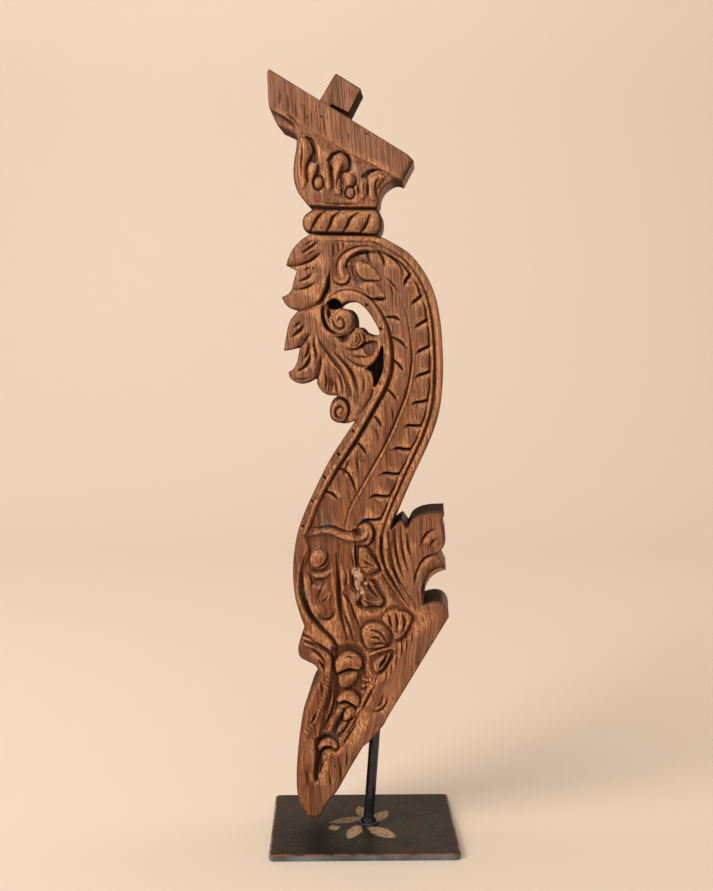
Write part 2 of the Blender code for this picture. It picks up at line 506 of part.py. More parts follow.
def carve_hook(r):
    """The hooked stalk at the head of the body, and the leaves under it."""
    r.stalk([(16, 549.0), (4, 551.6), (-8, 550.4), (-17, 546.2), (-22.6, 539.6), (-23.6, 532.6),
        (-21.8, 527.4)], 7.4, 3.6, -5.4, ends=(0.3, 0.9))
    r.stalk([(-30.6, 532.5), (-29, 526), (-24.6, 522.8), (-19.6, 523.6), (-17, 528)], 5.4, 2.8, -5.0,
        ends=(0.4, 0.8))
    r.level([(-14.5, 540), (-11, 547), (-4.5, 550), (1, 550), (1.5, 543), (-1, 540), (-8, 541)], -6.2,
        soft=2)
    r.level([(-15.5, 536.5), (-12.5, 540), (-11, 532), (-6.5, 525), (-2, 523.5), (-8, 520.5),
        (-13.5, 527.5)], -6.2, soft=2)
    r.swell([(-12, 540), (-6.5, 542), (1, 540), (8, 534), (12.5, 524), (4.5, 523.5), (-3.5, 524),
        (-9, 530.5)], 2.4, 6)
    r.swell([(-8, 519), (-3, 523), (4.5, 523.5), (10.5, 519.5), (17, 509), (10, 508), (2.5, 508),
        (-3.5, 512.5)], 1.8, 6)
    for path, gouge, ends in (
        ([(-18.6, 536), (-17.4, 541.8), (-10, 547.6), (-0.6, 549.4), (12.4, 547.4)], (3.8, 3.8),
            (0.6, 0.3)),
        ([(-1, 550), (9.5, 550), (18.5, 546.5), (26, 541), (30.5, 534.5), (32, 527.5), (31, 519.5)],
            (2.8, 3.0), (0.3, 0.1)),
        ([(-26.6, 528), (-27.6, 537), (-23.6, 546), (-14, 552.2), (-3, 554.4), (8, 553), (18, 548.6)],
            (1.8, 1.6), (0.5, 0.0)),
        ([(-19.4, 537), (-16.2, 531), (-15.6, 526), (-18.6, 521.2), (-24.6, 520.2), (-29.6, 523),
            (-32.2, 529)], SMALL, (0.6, 0.2)),
        ([(-11, 541), (-4.5, 541), (1, 539), (6, 535.5)], FINE, (0.2, 0.3)),
        ([(0, 549), (1.5, 543), (6, 536.5)], SMALL, (0.9, 0.0)),
        ([(10.5, 549), (14, 543.5), (16, 534)], MEDIUM, (0.8, 0.0)),
        ([(-30.5, 560.5), (-30.5, 550), (-29.5, 540)], FINE, (0.3, 0.0)),
        ([(-26, 561), (-26, 552.5), (-25, 545.5)], FINE, (0.3, 0.0)),
        ([(-21.5, 561), (-21.5, 555), (-21, 550)], FINE, (0.3, 0.0)),
        ([(-12, 535.5), (-8, 528.5), (-3, 524), (4.5, 523.5), (12.5, 524)], SMALL, (0.1, 0.2)),
        ([(-3, 511), (4.5, 507.5), (10, 507.5), (17, 509)], SMALL, (0.2, 0.1)),
        ([(12.5, 528.5), (18.5, 525), (26, 517), (30.5, 510)], FINE, (0.1, 0.3)),
        ([(18.5, 522.5), (22.5, 513.5), (22.5, 506.5)], FINE, (0.1, 0.1)),
    ):
        r.cut(path, gouge, ends)


def carve_crest_leaves(r):
    """The crest's overlapping leaves down the left side, with their veins."""
    edge = [
        (-52, 566), (-40, 562), (-33.5, 548), (-31.5, 534), (-34.4, 521), (-40, 510), (-44, 503.5),
        (-40.5, 496), (-39, 486), (-33, 478.6), (-28, 474), (-24, 464), (-20, 455), (-12, 447), (-4, 446),
        (4, 441), (5.6, 433), (3, 422), (-4, 408), (-12, 397), (-60, 380), (-90, 420), (-90, 520),
        (-84, 560),
    ]
    r.level(edge, -1.4, soft=3.0)
    for path, width, depth, ends, wall in (
        ([(-55, 496.5), (-47, 501.5), (-40.5, 508.5), (-36.5, 517), (-34.5, 527), (-32.5, 536)], 8.0, 6.0,
            (0.2, 0.0), 1.4),
        ([(-38.5, 551.5), (-44, 546.5), (-51.5, 541), (-60.5, 537.5), (-71, 536)], 7.0, 3.6, (0.0, 0.9),
            0.8),
        ([(-45, 523.5), (-51.5, 519), (-58.5, 516.5), (-66, 515.5)], 6.0, 2.2, (0.0, 0.6), 0.8),
        ([(-42.5, 506.5), (-49.5, 501), (-57, 497.5), (-64, 496.5)], 6.0, 2.6, (0.2, 0.8), 1.0),
        ([(-44.5, 481.5), (-42.5, 468), (-37, 460), (-30, 450), (-23.5, 442), (-19, 430),
            (-17.5, 416.5)][::-1], 8.0, 3.4, (0.4, 0.1), 0.8),
        ([(-50, 479.5), (-55.5, 469.5), (-60.5, 463.5)], 7.0, 3.4, (0.0, 0.9), 0.8),
        ([(-41.5, 460), (-41.5, 450.5), (-42.5, 443.5), (-44.5, 435.5)], 6.0, 4.0, (0.0, 0.9), 0.8),
        ([(-9, 414.5), (-9, 423.5), (-12, 433), (-15.5, 442), (-22.5, 451), (-31, 460), (-38, 468)], 6.0,
            2.6, (0.3, 0.0), 0.8),
        ([(-3, 447), (3.5, 434.5), (5.5, 424), (-1, 411), (-8, 402)], 5.0, 2.4, (0.2, 0.5), 0.8),
    ):
        r.drop(path, width, depth, ends, wall)
    for path, gouge, ends in (
        ([(-32.5, 536.5), (-34.5, 527), (-37, 517), (-41.5, 508), (-48, 502)], DEEP, (0.2, 0.1)),
        ([(-43, 559.5), (-49.5, 554.5), (-57.5, 549)], MEDIUM, (0.1, 0.7)),
        ([(-46, 552), (-50.5, 548.5), (-55, 545.5)], FINE, (0.1, 0.2)),
        ([(-48.5, 560), (-53, 557), (-56.5, 554.5)], FINE, (0.1, 0.2)),
        ([(-38.5, 551.5), (-44, 546.5), (-51.5, 541), (-60.5, 537.5)], SMALL, (0.1, 0.5)),
        ([(-48, 532.5), (-53, 527), (-60.5, 523.5)], MEDIUM, (0.1, 0.7)),
        ([(-50.5, 536), (-54, 534.5), (-57.5, 533)], FINE, (0.1, 0.2)),
        ([(-45, 524.5), (-50.5, 519.5), (-58, 516.5), (-64, 516)], SMALL, (0.1, 0.2)),
        ([(-59.5, 488.5), (-62.5, 485), (-66, 482)], SMALL, (0.1, 0.5)),
        ([(-56, 486.5), (-59.5, 480.5), (-63.5, 477), (-67, 474)], BROAD, (0.1, 0.6)),
        ([(-55, 470.5), (-52.5, 465), (-54.5, 458), (-59, 451.5)], MEDIUM, (0.4, 0.2)),
        ([(-51, 460.5), (-52.5, 452.5), (-57, 446), (-61.5, 443.5)], BROAD, (0.2, 0.6)),
        ([(-46, 478), (-48, 466), (-45.5, 456), (-46.5, 445.5)], SMALL, (0.1, 0.2)),
        ([(-69, 438), (-63.5, 435.5), (-56.5, 435.5), (-50, 438)], FINE, (0.1, 0.1)),
        ([(-30, 447), (-24.5, 437), (-22, 425.5), (-22.5, 418)], SMALL, (0.1, 0.2)),
        ([(-36, 467), (-30, 460.5), (-22, 451.5), (-14.5, 442.5), (-10, 433), (-8, 423), (-9, 413.5)],
            FINE, (0.1, 0.3)),
        ([(-21, 436.5), (-15.5, 425.5), (-14.5, 414.5)], FINE, (0.1, 0.1)),
        ([(-4.5, 442), (-2.5, 431), (-5.5, 418.5)], FINE, (0.1, 0.1)),
    ):
        r.cut(path, gouge, ends)
    for path in ([(-39, 443.5), (-36.5, 434.5), (-38, 424.5)], [(-32.5, 440), (-31, 431), (-33.5, 422)],
        [(-35.5, 441.5), (-33.5, 432.5), (-35.5, 422.5)],
                 [(-29, 436.5), (-28, 427.5), (-26.5, 421)]):
        r.cut(path, SMALL, ends=(0.2, 0.3))
    for path, width, height, ends in (
        ([(-44.5, 486.5), (-45.5, 470.5), (-43.5, 460), (-46.5, 447), (-53.5, 438)], 4.0, 1.2,
            (0.1, 0.1)),
        ([(-40, 472.5), (-32.5, 460), (-23.5, 450), (-16.5, 438), (-12.5, 425.5), (-13.5, 413)], 4.4, 1.8,
            (0.1, 0.2)),
        ([(-38, 466), (-31, 458), (-22.5, 449), (-15.5, 440), (-12, 431), (-10, 422)], 2.0, 0.9,
            (0.1, 0.1)),
    ):
        r.bead(path, width, height, ends)


def carve_scrolls(r):
    """The two scrolls and the cup inside the crest, the lower curl and the deep pockets."""
    r.level([(-33.5, 407.5), (-31, 415.5), (-25.5, 419), (-18, 416.5), (-14.5, 407.5), (-16.5, 397.5),
        (-24.5, 393.5), (-32, 398)], -4.8, soft=2)
    r.dome((-25.5, 406.5), (9.4, 11.4), 4.0, -5.8)
    r.bead([(-18, 401), (-23.5, 397), (-29.5, 399), (-31.5, 406.5), (-29, 412.5), (-23.5, 414.5),
        (-19.5, 411)], 4.0, 1.8, ends=(0.3, 0.3))
    r.cut([(-20, 402), (-24.5, 399.5), (-28, 402.5), (-28, 408), (-24, 410.5), (-21.5, 407.5),
        (-23.5, 404.5)], SMALL, ends=(0.2, 0.6))
    r.cut([(-30, 416.5), (-23.5, 418), (-18, 414), (-16.5, 406.5), (-19, 398.5)], BROAD, ends=(0.3, 0.5))
    r.level([
        (-41, 500), (-40.6, 488), (-36.5, 480), (-28, 475.6), (-20, 475), (-13, 478), (-9, 486),
        (-10, 496), (-18, 501), (-26, 501), (-31, 506),
    ], -7.0, soft=2.0)
    r.bead([(-36, 504.5), (-38, 495.5), (-36, 486.5), (-31.5, 479.5), (-24.5, 476)], 4.4, 3.6,
        ends=(0.3, 0.3))
    r.cut([(-39.5, 506.5), (-40.5, 495.5), (-38, 485), (-32.5, 478), (-24.5, 473.5)], BROAD,
        ends=(0.5, 0.2))
    r.cut([(-34.5, 502), (-35, 494), (-32.5, 486.5)], BROAD, ends=(0.8, 0.3))
    r.dome((-22.5, 487), (12.4, 12.6), 6.4, -7.0)
    r.cut([(-30.5, 496.5), (-31.5, 490.5), (-29.5, 484), (-25, 480.5), (-21, 482.5), (-21, 487),
        (-24, 490.5), (-26.5, 488)],
        MEDIUM, ends=(0.2, 0.7))
    r.cut([(-17, 495.5), (-13, 490.5), (-13.5, 483), (-18.5, 478)], FINE, ends=(0.1, 0.1))
    r.level([
        (-36.5, 504), (-31, 507.6), (-25.4, 505.6), (-23.6, 501.8), (-27, 498.9), (-31.4, 498.4),
        (-35, 500),
    ], -24, soft=1.6)
    r.dome((-12.5, 472.5), (11.2, 9.6), 4.2, -7.6)
    for radius in (8.4, 5.4):
        arc = spiral((-12.5, 471.5), radius, radius * 0.9, 80, -190, 12)
        r.bead(arc, 2.8, 1.8, ends=(0.3, 0.2))
        r.cut(arc * 0.8 + np.array((-12.5, 471.5)) * 0.2, FINE, ends=(0.2, 0.2))
    r.level([(-25.5, 472.5), (-21, 473.5), (-16.5, 472.5), (-18, 469.5), (-22.5, 469)], -7.6, soft=2)
    r.dome((-4, 460), (16.6, 13.4), 5.6, -8.2)
    r.level([(-8, 464.5), (-3, 467.5), (4.5, 469.5), (9, 469), (8, 461.5), (3.5, 456), (-1, 458),
        (-3, 462.5)], -5.4, soft=1.4)
    for path, gouge, ends in (
        ([(-31, 473.5), (-22.5, 473.5), (-16.5, 475), (-12, 479.5)], MEDIUM, (0.3, 0.7)),
        ([(-22.5, 464.5), (-13.5, 462), (-5.5, 464.5), (-2, 469.5), (-3, 475)], MEDIUM, (0.1, 0.8)),
        ([(-20, 460), (-12, 456), (-4.5, 455.5), (2.5, 455.5), (8, 460)], FINE, (0.1, 0.4)),
        ([(-22, 459), (-15.5, 452.5), (-6.5, 447.5), (1, 447), (7, 452.5), (11, 460.5)], SMALL,
            (0.2, 0.4)),
        ([(-9, 464), (-3, 467), (4.5, 469.5), (9.5, 469)], SMALL, (0.3, 0.3)),
    ):
        r.cut(path, gouge, ends)
    r.level([(-1, 444.5), (5.5, 449.5), (10.5, 457), (13.5, 465), (14.5, 454.5), (14, 443.5), (11, 435.5),
        (6.5, 428.5), (5.5, 436.5), (3.5, 442)],
        -24, soft=1.6)


def carve_lower_panel(r):
    """The carved panel under the scales: a curling vine, a boss, channels, lobes and torn wood."""
    field = [
        (-57, 291), (-40, 296), (-22, 292), (-6, 289), (1.5, 291), (5.5, 299), (10, 299), (8.6, 285),
        (8, 271), (13, 257), (22, 243.5), (31.5, 231), (40, 219.5), (39, 211), (30.5, 195), (23.5, 183),
        (11.5, 161), (-0.5, 141), (-12.5, 121), (-24.5, 99), (-38.5, 79), (-47.5, 57), (-49.5, 65),
        (-46.5, 91), (-41.5, 119), (-35.5, 149), (-31.5, 171), (-28.5, 185), (-40.5, 202),
        (-53.5, 215), (-59.5, 234), (-59.5, 259), (-53.5, 277),
    ]
    r.level(field, -5.0, soft=3.0)
    r.stalk([(-54.5, 291.5), (-43, 294.5), (-32, 294), (-23.5, 291), (-15.5, 289), (-8.5, 289), (-2, 291),
        (0.5, 295), (-1, 299.5)],
        7.0, 4.6, -5.4, ends=(0.5, 0.7))
    r.stalk([(-8.5, 296), (-5.5, 299.5), (-1, 300.5), (2.5, 297.5), (3.5, 292.5), (1.5, 286.5),
        (-3.5, 283.5), (-10.5, 283)], 5.0, 4.0, -6.0,
        ends=(0.4, 0.6))
    r.level([(-13, 296.5), (-6.5, 297.5), (-5.5, 292.5), (-11, 290.5)], -7.4, soft=2)
    r.dome((-44.5, 269), (9.0, 9.6), 4.4, -5.6)
    r.level([(-50.5, 260), (-44.5, 259), (-37.5, 261.5), (-34.5, 266), (-37, 259.5), (-42.5, 256.5),
        (-50, 257.5)], -7.2, soft=2.4)
    r.stalk([(-52.5, 257.5), (-48.5, 253.5), (-42, 253), (-35.5, 256.5), (-31, 264)], 5.0, 3.4, -6.4,
        ends=(0.4, 0.3))
    r.level([(-51, 246.5), (-45.5, 244.5), (-40, 245.5), (-37.5, 250.5), (-40.5, 251.5), (-46.5, 250.5)],
        -7.0, soft=3)
    r.stalk([(-34.5, 243.5), (-35, 236), (-39, 231.5), (-45.5, 229)], 5.4, 3.6, -7.0, ends=(0.4, 0.4))
    r.dome((-46, 220.5), (9.6, 7.6), 3.8, -6.4, angle=-20)
    r.level([(-9.5, 283), (-0.5, 281.5), (6.5, 275), (10.5, 267), (14, 261.5), (8.5, 255.5), (0.5, 252.5),
        (-5.5, 252), (-9.5, 260)], -8.0, soft=3)
    r.swell([(-8, 281.5), (-1.5, 281.5), (5, 275), (9, 267.5), (12.5, 261.5), (8.5, 257), (1, 254.5),
        (-4.5, 257), (-7.5, 263), (-9, 272)], 4.4, 6)
    r.level([(-14.5, 258), (-4.5, 258.5), (-1.5, 252.5), (7.5, 250), (14.5, 238), (17.5, 229),
        (13.5, 222.5), (-2.5, 222.5), (-8.5, 226), (-9.5, 236), (-14.5, 243)],
        -9.6, soft=3)
    r.swell([(-1, 252), (5.5, 248.5), (9.5, 241.5), (14, 234.5), (16.5, 229.5), (14, 225), (3, 224),
        (-3, 224), (-6.5, 228), (-5, 234), (-2, 241.5)], 5.0, 5)
    r.level([(1, 248), (5, 243), (9, 236), (12, 231.5), (7, 229.5), (-0.5, 231.5), (-1.5, 238.5)], -8.4,
        soft=2.6)
    r.swell([(-14, 258), (-9.5, 259.5), (-4.5, 258), (-4.5, 250), (-6.5, 241.5), (-10, 242.5),
        (-13, 248.5)], 3.4, 3)
    for path, gouge, ends in (
        ([(-54.5, 298.5), (-43, 299), (-32, 299.5), (-21.5, 296), (-15, 295), (-10, 297.5)], MEDIUM,
            (0.3, 0.4)),
        ([(-10.5, 296), (-7, 301.5), (-2, 304), (4, 302), (6.5, 295), (5, 287.5), (0.5, 282),
            (-7, 280.5)], MEDIUM,
            (0.4, 0.3)),
        ([(-52.5, 292), (-43, 293.5), (-34, 293), (-26.5, 289.5), (-20, 287.5), (-10, 287), (-4.5, 289)],
            SMALL, (0.1, 0.3)),
        ([(-53.5, 279), (-57.5, 270.5), (-60, 261), (-61, 250), (-60, 236), (-57, 226.5), (-51, 214.5),
            (-41.5, 203), (-32.5, 194), (-26.5, 184.5)],
            (6.0, 5.4), (0.2, 0.6)),
        ([(-39, 279.5), (-36.5, 273.5), (-38.5, 266), (-43.5, 262), (-49.5, 262)], MEDIUM, (0.1, 0.3)),
        ([(-52.5, 255.5), (-48.5, 251), (-41.5, 249.5), (-35.5, 253)], FINE, (0.2, 0.2)),
        ([(-56, 257.5), (-53, 253.5), (-51, 247), (-52.5, 240)], SMALL, (0.3, 0.1)),
        ([(-39.5, 247.5), (-42.5, 241), (-45, 235), (-47, 228.5)], FINE, (0.1, 0.1)),
        ([(-35, 238), (-37, 233.5), (-40.5, 229.5), (-43.5, 227.5)], SMALL, (0.1, 0.1)),
        ([(-28.5, 224), (-31.5, 216.5), (-36, 212.5), (-41.5, 213.5), (-45, 218)], SMALL, (0.2, 0.2)),
        ([(-28.5, 274.5), (-26.5, 250.5), (-25.5, 231.5), (-24, 217.5), (-21, 203.5), (-18.5, 194)],
            (5.4, 5.0), (0.3, 0.3)),
        ([(-23, 233.5), (-21, 217.5), (-15.5, 203.5), (-13, 193)], SMALL, (0.1, 0.7)),
        ([(-15.5, 230), (-13, 220.5), (-8, 208.5), (-5.5, 202)], SMALL, (0.2, 0.4)),
        ([(-17, 247.5), (-21.5, 238), (-18, 232), (-14, 224.5), (-11.5, 217.5)], SMALL, (0.1, 0.2)),
        ([(-18.5, 258), (-20, 248), (-22.5, 240)], FINE, (0.1, 0.1)),
        ([(-11, 290), (-11, 279), (-10.5, 268.5), (-9, 259.5)], (2.0, 4.0), (0.4, 0.6)),
        ([(-15, 278), (-13.5, 268.5), (-11.5, 259)], FINE, (0.3, 0.3)),
        ([(-5.5, 270.5), (0, 266), (6.5, 263)], SMALL, (0.2, 0.4)),
        ([(-1, 278), (4.5, 272.5), (9.5, 266)], FINE, (0.2, 0.2)),
        ([(-5.5, 253.5), (-1, 248), (3, 240.5), (8.5, 235), (16, 232)], MEDIUM, (0.2, 0.3)),
        ([(-9, 233.5), (-2.5, 230), (6.5, 227.5), (15, 229.5)], SMALL, (0.2, 0.3)),
        ([(-9, 261), (-3.5, 261.5), (3.5, 263)], FINE, (0.2, 0.1)),
        ([(7.5, 287), (8, 276), (10, 266), (14.5, 256), (22.5, 243.5), (32.5, 230.5), (40.5, 219.5)],
            SMALL, (0.3, 0.4)),
        ([(-9.5, 235), (-4, 239.5), (1, 239.5)], FINE, (0.2, 0.6)),
        ([(-7.5, 232), (-6, 227), (-4.5, 221.5)], SMALL, (0.2, 0.3)),
    ):
        r.cut(path, gouge, ends)
    r.bead([(-24, 269), (-22.5, 250.5), (-21, 233.5), (-18.5, 220.5), (-13.5, 207.5)], 4.0, 1.6,
        ends=(0.2, 0.2))
    for splinter in ([(-22, 259), (-21, 250.5), (-23, 243)], [(-17.5, 260), (-16.5, 248.5),
        (-13.5, 239.5)], [(-13, 256), (-10, 247), (-6.5, 241.5)]):
        r.bead(splinter, 3.0, 2.0, ends=(0.4, 0.1), step=1.0)
    r.bead([(-33, 272.5), (-32, 255), (-30.5, 239), (-28.5, 226)], 3.4, 1.2, ends=(0.2, 0.2))
    for k in range(6):
        top = np.array((18, 189)) + np.array([4.6, 5.0]) * k
        r.cut([top, top + (0.6, -22), top + (-1.4, -44 + 3 * k)], FINE, ends=(0.1, 0.1))


def carve_knobs(r):
    """The fluted shell, the curled knob and the leaf with a pointed hollow below them."""
    r.level([(11, 215), (17.5, 224), (25, 226), (32.5, 225), (40, 221.5), (44.5, 215.5), (41.5, 207),
        (38, 198.5), (30.5, 192), (22.5, 193), (16, 200), (13, 207.5)],
        -6.0, soft=2)
    r.swell([(13, 215.5), (18.5, 221.5), (25, 223.5), (32.5, 222.5), (39, 220), (42.5, 215.5), (40, 207),
        (36, 199.5), (30, 194), (22.5, 195), (17.5, 202), (15, 208.5)], 4.0, 4)
    for path in ([(19.5, 220), (21.5, 211.5), (23.5, 203)], [(26, 222), (28, 211.5), (27, 201.5)],
        [(32.5, 221), (35, 212), (32.5, 200.5)]):
        r.cut(path, MEDIUM, ends=(0.3, 0.3))
    r.cut([(-5.5, 232), (3, 226.5), (12, 225.5), (17.5, 229.5)], SMALL, ends=(0.1, 0.1))
    r.level([(-7, 201.5), (-1, 211), (10.5, 212), (18.5, 208), (25, 198.5), (22.5, 188), (12, 184),
        (1, 182), (-5.5, 190.5)], -6.6, soft=2.6)
    r.dome((8, 197), (14.6, 13.6), 5.4, -6.8)
    for path, gouge, ends in (
        ([(-5, 203.5), (-4.5, 194), (0, 185)], MEDIUM, (0.4, 0.5)),
        ([(-0.5, 201), (5, 203.5), (12, 201), (17, 194.5), (19.5, 189)], SMALL, (0.1, 0.5)),
        ([(3, 196.5), (8.5, 197), (14, 193.5)], SMALL, (0.4, 0.2)),
        ([(4, 189.5), (11.5, 191), (18.5, 190)], SMALL, (0.2, 0.6)),
        ([(2, 185), (10.5, 185), (19.5, 188)], MEDIUM, (0.4, 0.4)),
    ):
        r.cut(path, gouge, ends)
    r.level([(3, 177.5), (12, 182.5), (23.5, 184.5), (27, 183.5), (21.5, 172), (16, 164), (9.5, 160.5),
        (4, 164)], -6.4, soft=3.0)
    r.stalk([(2, 179), (12, 183.5), (21.5, 186), (27, 185.5)], 3.4, 3.6, -6.6, ends=(0.6, 0.3))
    r.swell([(5, 172.5), (10.5, 177.5), (22.5, 182.5), (20.5, 175.5), (16, 168), (10.5, 162.5),
        (6.5, 164)], 4.6, 4)
    r.level([(11.5, 168), (13, 172.5), (19.5, 181), (17, 174), (13, 168.5)], -8.6, soft=1.6)
    r.cut([(25, 183.5), (21.5, 174), (17, 166), (10.5, 160.5), (5, 161)], FINE, ends=(0.3, 0.3))


def carve_lobes(r):
    """The chain of hooded lobes that runs down to the tip, and the rolls of the left edge."""
    r.level([
        (-31.5, 186), (-8.5, 187), (-1.5, 176), (-4.5, 158), (-2.5, 146), (-6.5, 130), (-18.5, 106),
        (-27.5, 101), (-30.5, 112), (-29.5, 150),
    ], -9.4, soft=5)
    r.level([(-47, 98), (-38.5, 102.6), (-28.5, 98), (-27.5, 93), (-34.5, 86), (-41.5, 74), (-47, 60),
        (-47.5, 76)], -9.4, soft=4)
    for cap, body in (
        ([(-31.5, 171), (-26.5, 177.5), (-21, 181.5), (-15.5, 183), (-9, 180.5), (-4, 175.5),
            (-3.5, 168.5), (-7, 164), (-15.5, 165), (-23, 162.5), (-28.5, 160.5)],
            [(-27.5, 159.5), (-22, 162.5), (-15.5, 164), (-8, 163), (-8.5, 155), (-13.5, 148.5),
                (-21, 146), (-26, 148), (-28, 154)]),
        ([(-29.5, 137.5), (-24, 142.5), (-18.5, 145), (-12, 144), (-7, 139), (-5.5, 133.5), (-9, 128.5),
            (-14.5, 131.5), (-20.5, 134), (-27.5, 132)],
            [(-27.5, 131), (-21, 133), (-15.5, 130), (-22, 122.5), (-27, 114.5), (-32.5, 106.5),
                (-38, 103), (-35.5, 111.5), (-31.5, 122.5)]),
        ([(-19.5, 128.5), (-14.5, 129.5), (-10, 126.5), (-11, 121), (-16.5, 116), (-23, 115.5),
            (-22, 123.5)],
            [(-22, 116.5), (-16.5, 118), (-13.5, 117), (-19.5, 108), (-25, 102), (-29.5, 101.5),
                (-28.5, 109)]),
        ([(-47, 91), (-42, 97.5), (-36, 99.5), (-29.5, 97.5), (-25.5, 91), (-29, 86.5), (-34.5, 90),
            (-40, 89), (-45, 84.5)],
            [(-44, 83.5), (-39, 88), (-33.5, 88.5), (-31.5, 84.5), (-37, 78), (-42, 70), (-44, 60),
                (-46, 55.5), (-46.5, 69), (-45.5, 77.5)]),
    ):
        r.swell(body, 4.4, 5)
        r.level(cap, -8.0, soft=1.2)
        r.swell(cap, 6.0, 5)
        low = len(cap) * 2 // 3
        r.cut(cap[low - 1:] + cap[:1], MEDIUM, ends=(0.5, 0.2))
        r.cut(cap[:low], (2.0, 1.2), ends=(0.1, 0.5))
        middle = np.mean(cap, axis=0)
        r.cut((np.array(cap[1:low - 1]) - middle) * 0.55 + middle, FINE, ends=(0.2, 0.2))
        middle = np.mean(body, axis=0)
        r.cut((np.array(body[:4]) - middle) * 0.6 + middle, FINE, ends=(0.2, 0.2))
    r.level([(-7, 164), (-2.5, 168.5), (-0.5, 162), (1, 152.5), (-3.5, 144), (-8, 147.5), (-7, 156)],
        -10.0, soft=2)
    for k in range(6):
        bit = np.array((-0.5, 160)) + np.array([(k * 3.7) % 7.0 - 3, -(k * 5.3) % 17.0 - 17])
        r.dome(bit, (2.4, 2.0), 3.4, -9.0, angle=40 * k)
    for path, gouge, ends in (
        ([(-62, 195), (-52, 190), (-42.5, 184), (-36, 176.5)], MEDIUM, (0.2, 0.3)),
        ([(-59.5, 188.5), (-49, 183.5), (-41.5, 177), (-38, 169)], BROAD, (0.2, 0.3)),
        ([(-52, 193.5), (-41.5, 186.5), (-33.5, 179.5), (-30, 169)], DEEP, (0.3, 0.4)),
        ([(-65, 200), (-56.5, 197), (-49, 193.5)], MEDIUM, (0.2, 0.3)),
        ([(-44.5, 174.5), (-40.5, 168), (-39.5, 161.5)], MEDIUM, (0.2, 0.1)),
        ([(-33, 177.5), (-32.5, 169), (-33.5, 159.5)], SMALL, (0.2, 0.1)),
        ([(-43.5, 155.5), (-41.5, 146), (-41, 137.5)], SMALL, (0.1, 0.1)),
        ([(-46.5, 125), (-49.5, 118), (-52.5, 112)], (2.8, 4.6), (0.4, 0.2)),
        ([(-30.5, 146), (-31, 134.5), (-33.5, 123), (-39, 111.5), (-46.5, 102.5)], MEDIUM, (0.1, 0.2)),
        ([(-35, 159.5), (-33.5, 148), (-35, 134.5), (-41, 121)], FINE, (0.1, 0.1)),
        ([(-0.5, 131.5), (4, 127), (11.5, 127), (18, 134), (19.5, 147)], SMALL, (0.1, 0.0)),
        ([(4, 136.5), (7.5, 131.5), (12.5, 133.5), (15, 140.5), (16, 149)], FINE, (0.1, 0.0)),
        ([(-9, 116), (-13.5, 107.5), (-19.5, 98.5), (-24, 90.5)], MEDIUM, (0.3, 0.3)),
        ([(8.5, 152.5), (-0.5, 137), (-5.5, 125.5)], MEDIUM, (0.3, 0.3)),
        ([(-26.5, 81), (-24.5, 71.5), (-24.5, 59.5), (-25.5, 53)], (1.8, 2.6), (0.4, 0.1)),
        ([(-35.5, 69), (-34.5, 59.5), (-33.5, 48)], FINE, (0.1, 0.1)),
        ([(-19.5, 91), (-18.5, 79), (-19.5, 67.5)], FINE, (0.1, 0.1)),
        ([(-59, 74.5), (-56, 63), (-56, 49)], FINE, (0.1, 0.2)),
        ([(-47, 90), (-43.5, 84), (-43, 72), (-46.3, 60)], BROAD, (0.1, 0.1)),
    ):
        r.cut(path, gouge, ends)
    r.bead([(-55.5, 191), (-45.5, 185), (-38, 177), (-34, 167)], 4.6, 1.8, ends=(0.2, 0.2))
    r.bead([(-61, 191.5), (-53.5, 187), (-45.5, 180.5)], 3.4, 1.4, ends=(0.2, 0.2))
    for k in range(16):
        chip = np.array((-35, 159.5)) + np.array([-0.5 * k - 0.055 * k * k, -3.7 * k])
        r.bead([chip - (2.4, -2.0), chip + (2.0, -2.2)], 2.0, 2.2, ends=(0.6, 0.3), step=0.5)
    r.bead([(8.5, 159.5), (2, 146), (-6.5, 130.5), (-13.5, 116), (-20.5, 103.5), (-26, 92.5)], 3.6, 4.2,
        ends=(0.4, 0.3))
    r.bead([(-35, 160.5), (-36, 146), (-42, 131.5), (-47.5, 119), (-55, 105.5)], 3.6, 1.2,
        ends=(0.2, 0.2))


